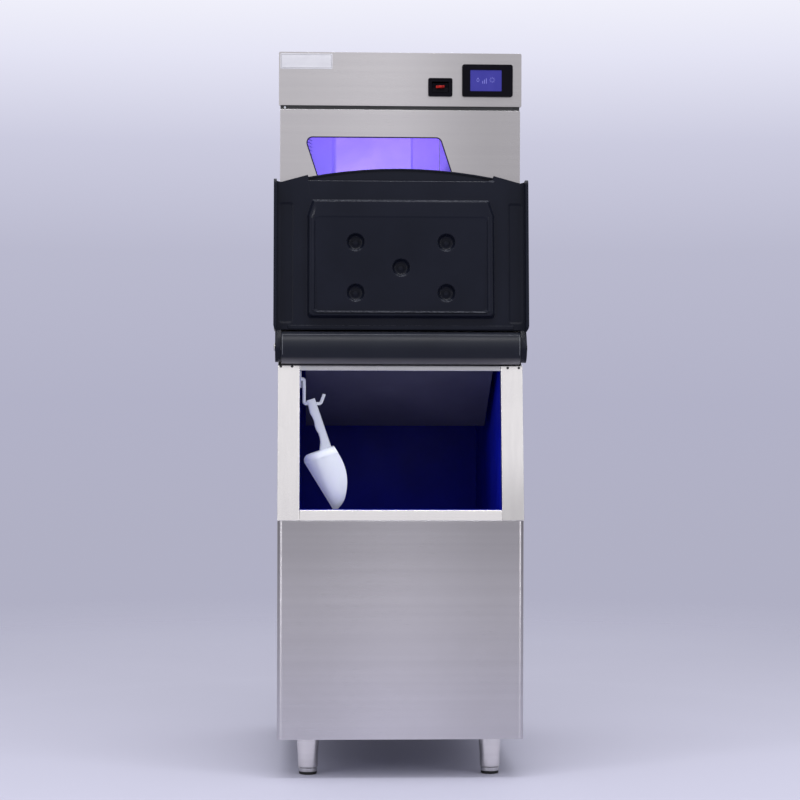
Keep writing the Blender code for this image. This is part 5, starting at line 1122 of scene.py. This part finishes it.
def makeHeadTrim(s):
    seal = s["seal"]
    # black seal, also painted shade in the head's gap
    addPiece("gapSealAndShade", boxShape(seal["low"], seal["high"], 0.0008), "blackPaint", "cabinet", 40)
    w = s["window"]
    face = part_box("head_front_panel")[0].y
    outside, inside, proud = w["outside"], w["trim"], -w["proud"]
    profile = [(outside, w["seat"]), (outside, proud), (inside * 0.5, proud * 1.6), (inside, proud), (inside, w["lip"])]
    rings = []
    for inset, y in profile + profile[:1]:
        rings.append([(x, face + y, z) for x, z in roundedOutline(windowCorners(w, inset), w["radius"] - inset, 8)])
    addPiece("windowTrim", loftRings(rings, False), "windowRubber", "cabinet", 50)
    sheet = s["sheet"]
    low = (sheet["left"], sheet["y"], sheet["low"])
    high = (sheet["right"], sheet["y"] + sheet["thick"], sheet["high"])
    addPiece("baySheet", boxShape(low, high, 0.0004), "sheetGlow", "cabinet", 40)
    for i, seat in enumerate(s["screws"]):
        shape = roundHead(seat, s["screwTilt"], s["screwHead"], 28)
        addPiece("frameScrew%d" % i, shape, "blackPaint", "cabinet", 30)
    for i, (seat, finish, slotName) in enumerate(s["caps"]):
        addPiece("gapCap%d" % i, roundHead(seat, 0.0, s["capHead"], 24), finish, "cabinet", 30)


# a fine pale bead along the roll's upper front edge and down its ends: a painted highlight line
beadSettings = {"radius": 0.0364, "half": 0.2690, "from": 52, "to": -28, "thick": 0.0008}


def makeRollBead(s):
    pivot = Vector(doorSettings["pivot"])
    half, start, end, steps = s["half"], s["from"], s["to"], 20

    def onRoll(x, angle):
        turn = math.radians(angle)
        return (x, pivot.y - s["radius"] * math.cos(turn), pivot.z + s["radius"] * math.sin(turn))

    route = [onRoll(-half, end + (start - end) * k / steps) for k in range(steps + 1)]
    route += [onRoll(half * (2 * k / steps - 1), start) for k in range(1, steps)]
    route += [onRoll(half, start + (end - start) * k / steps) for k in range(steps + 1)]
    addWire("rollHighlightBead", [route], s["thick"], 3, "paintedHighlightGrey", "cabinet")


# plain marks on the display: a drop, three rising bars and a dial of strokes
markSettings = {
    "drop": (0.1790, 1.5975),
    "dropShape": [(0, 0.0055), (0.0028, 0.0010), (0.0022, -0.0022), (0, -0.0034), (-0.0022, -0.0022),
                  (-0.0028, 0.0010)],
    "bars": (0.1900, 1.5905),
    "barHeights": (0.005, 0.008, 0.011),
    "barPitch": 0.0042,
    "dial": (0.2120, 1.5985),
    "dialRadii": (0.0038, 0.0062),
    "thick": 0.0002,
    "width": 0.0009,
}


def addStroke(shape, first, last, y, width, thick):
    first, last = Vector(first), Vector(last)
    way = (last - first).normalized() * width / 2
    side = Vector((-way.y, way.x))
    corners = [first - way + side, last + way + side, last + way - side, first - way - side]
    near, far, faces = bridgeRings(shape, [[(p.x, level, p.y) for p in corners] for level in (y, y - thick)])
    shape.faces.new(near)
    shape.faces.new(far)


def makeDisplayMarks(s):
    tree, shader = newMaterial("markGlow", Base_Color=(0.1, 0.1, 0.3, 1), Emission_Strength=0.5, Roughness=0.3)
    glowWith(tree, shader, mixColour(tree, smudgeOf(tree, 60.0, 0.8), (0.24, 0.24, 0.72), (0.17, 0.17, 0.62)))
    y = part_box("display_screen")[0].y + 0.00002
    shape = bmesh.new()
    x, z = s["drop"]
    drop = [(x + across, z + up) for across, up in s["dropShape"]]
    for k in range(len(drop)):
        addStroke(shape, drop[k - 1], drop[k], y, s["width"], s["thick"])
    x, z = s["bars"]
    for k, height in enumerate(s["barHeights"]):
        left = x + s["barPitch"] * k
        addStroke(shape, (left, z), (left, z + height), y, s["width"] * 1.5, s["thick"])
    for near, far in zip(*(circlePoints(*s["dial"], radius, 8) for radius in s["dialRadii"])):
        addStroke(shape, near, far, y, s["width"], s["thick"])
    addPiece("displayMarks", shape, "markGlow", "cabinet")


# curved ribs moulded in the curtain's upper left corner
ribSettings = {
    "left": -0.2212,
    "right": -0.2030,
    "levels": (1.4700, 1.4625, 1.4545, 1.4460, 1.4370),
    "sag": 0.0060,
    "radius": 0.0007,
}


def makeCurtainRibs(s):
    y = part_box("water_curtain")[0].y - s["radius"] * 0.4
    left, right, sag = s["left"], s["right"], s["sag"]
    shares = [k / 8 for k in range(9)]
    routes = [[(left + (right - left) * share, y, level - sag * share ** 2) for share in shares]
              for level in s["levels"]]
    addWire("curtainRibs", routes, s["radius"], 2, "ribShade", "curtain")


makePlastic("ribShade", dict(tone=(0.050, 0.030, 0.300), dark=(0.030, 0.018, 0.200), wearAndHighlight=(0.1, 0.07, 0.4),
                             rough=(0.35, 0.5), grain=1500.0, relief=0.00002, spec=0.25, wear=0.3))
makeDisplayMarks(markSettings)
makeCurtainRibs(ribSettings)
makePlastic("windowRubber", dict(tone=(0.012, 0.008, 0.030), dark=(0.008, 0.005, 0.020), wearAndHighlight=(0.05, 0.04, 0.09),
                                 rough=(0.35, 0.5), grain=1500.0, relief=0.00002, spec=0.25, wear=0.3))
# pale grey for the bead: the painted highlight of the roll's edge
makePlastic("paintedHighlightGrey", dict(tone=(0.110, 0.116, 0.135), dark=(0.075, 0.080, 0.095), wearAndHighlight=(0.2, 0.2, 0.23),
                             rough=(0.28, 0.4), grain=1500.0, relief=0.00002, spec=0.4, wear=0.3))
makeFeet(footSettings)
makeHeadTrim(headSettings)
makeRollBead(beadSettings)
print("feet, head trim and bead made")

# floor
floorSettings = {"radius": 9.0, "fadeFrom": 1.4, "fadeTo": 4.2, "colour": (0.53, 0.53, 0.655)}


def makeFloor(s):
    shape = bmesh.new()
    bmesh.ops.create_circle(shape, cap_ends=True, segments=96, radius=s["radius"])
    mesh = bpy.data.meshes.new("floorMesh")
    shape.to_mesh(mesh)
    shape.free()
    floor = addObject("floor", mesh)
    floor.location.z = -0.0006
    tree, shader = newMaterial("floorPaper", Roughness=0.85, Specular_IOR_Level=0.2)
    place = objectPlace(tree)
    weave = noise(tree, place, 1.4, 3.0)
    low = tuple(0.96 * v for v in s["colour"])
    wire(tree, mixColour(tree, weave, low, s["colour"]), shader.inputs["Base Color"])
    length = addNode(tree, "ShaderNodeVectorMath", operation="LENGTH")
    wire(tree, place, length.inputs[0])
    wire(tree, spread(tree, length.outputs["Value"], s["fadeFrom"], s["fadeTo"], 1.0, 0.0), shader.inputs["Alpha"])
    mesh.materials.append(materials["floorPaper"])


makeFloor(floorSettings)

# soft studio light: the camera sees a plain pale backdrop, and the metal reflects the studio in front of it
worldSettings = {
    "backdrop": [(0.0, (0.43, 0.43, 0.55)), (0.35, (0.435, 0.435, 0.555)), (0.50, (0.445, 0.445, 0.575)),
                 (0.675, (0.49, 0.49, 0.62)), (0.80, (0.60, 0.60, 0.74)), (0.90, (0.78, 0.78, 0.91)),
                 (1.0, (0.93, 0.93, 1.0))],
    "studio": [(0.0, (0.40, 0.395, 0.44)), (0.33, (0.52, 0.51, 0.545)), (0.45, (0.66, 0.65, 0.68)),
               (0.60, (0.98, 0.97, 0.98)), (1.0, (1.10, 1.10, 1.12))],
    "sides": 0.55,  # how much darker the studio is beside the object than in front of it
}
lightSettings = {
    "overheadStrip": dict(place=(0.0, -1.3, 3.2), aim=(0, -0.35, 1.0), size=(2.6, 0.4), power=38.0),
    "leftStrip": dict(place=(-2.3, -2.1, 1.25), aim=(0, -0.3, 0.9), size=(0.4, 2.2), power=16.0),
    "rightStrip": dict(place=(2.3, -1.9, 1.25), aim=(0, -0.3, 0.9), size=(0.4, 2.2), power=14.0),
}


def makeWorld(s):
    world = bpy.data.worlds.new("studio")
    bpy.context.scene.world = world
    world.use_nodes = True
    tree = world.node_tree
    sky = tree.nodes["Background"]
    axes = axesOf(tree, addNode(tree, "ShaderNodeTexCoord").outputs["Generated"])
    backdrop = makeRamp(tree, spread(tree, axes["Z"], -0.2, 0.2), s["backdrop"])
    height = makeRamp(tree, spread(tree, axes["Z"], -0.5, 0.9), s["studio"])
    aside = addNode(tree, "ShaderNodeMath", operation="ABSOLUTE")
    wire(tree, axes["X"], aside.inputs[0])
    shade = spread(tree, aside.outputs[0], 0.25, 0.95, 0.0, s["sides"])
    studio = mixColour(tree, shade, height, (0.05, 0.05, 0.07))
    seen = addNode(tree, "ShaderNodeLightPath")
    wire(tree, mixColour(tree, seen.outputs["Is Camera Ray"], studio, backdrop), sky.inputs["Color"])


def makeLights(lights):
    for name, s in lights.items():
        data = bpy.data.lights.new(name, "AREA")
        data.shape = "RECTANGLE"
        data.size, data.size_y = s["size"]
        data.energy = s["power"]
        lamp = addObject(name, data)
        lamp.location = s["place"]
        lamp.rotation_euler = (Vector(s["aim"]) - lamp.location).to_track_quat("-Z", "Y").to_euler()


makeWorld(worldSettings)
makeLights(lightSettings)
bpy.context.scene.view_settings.view_transform = "Standard"
print("floor and light made")

print("done")
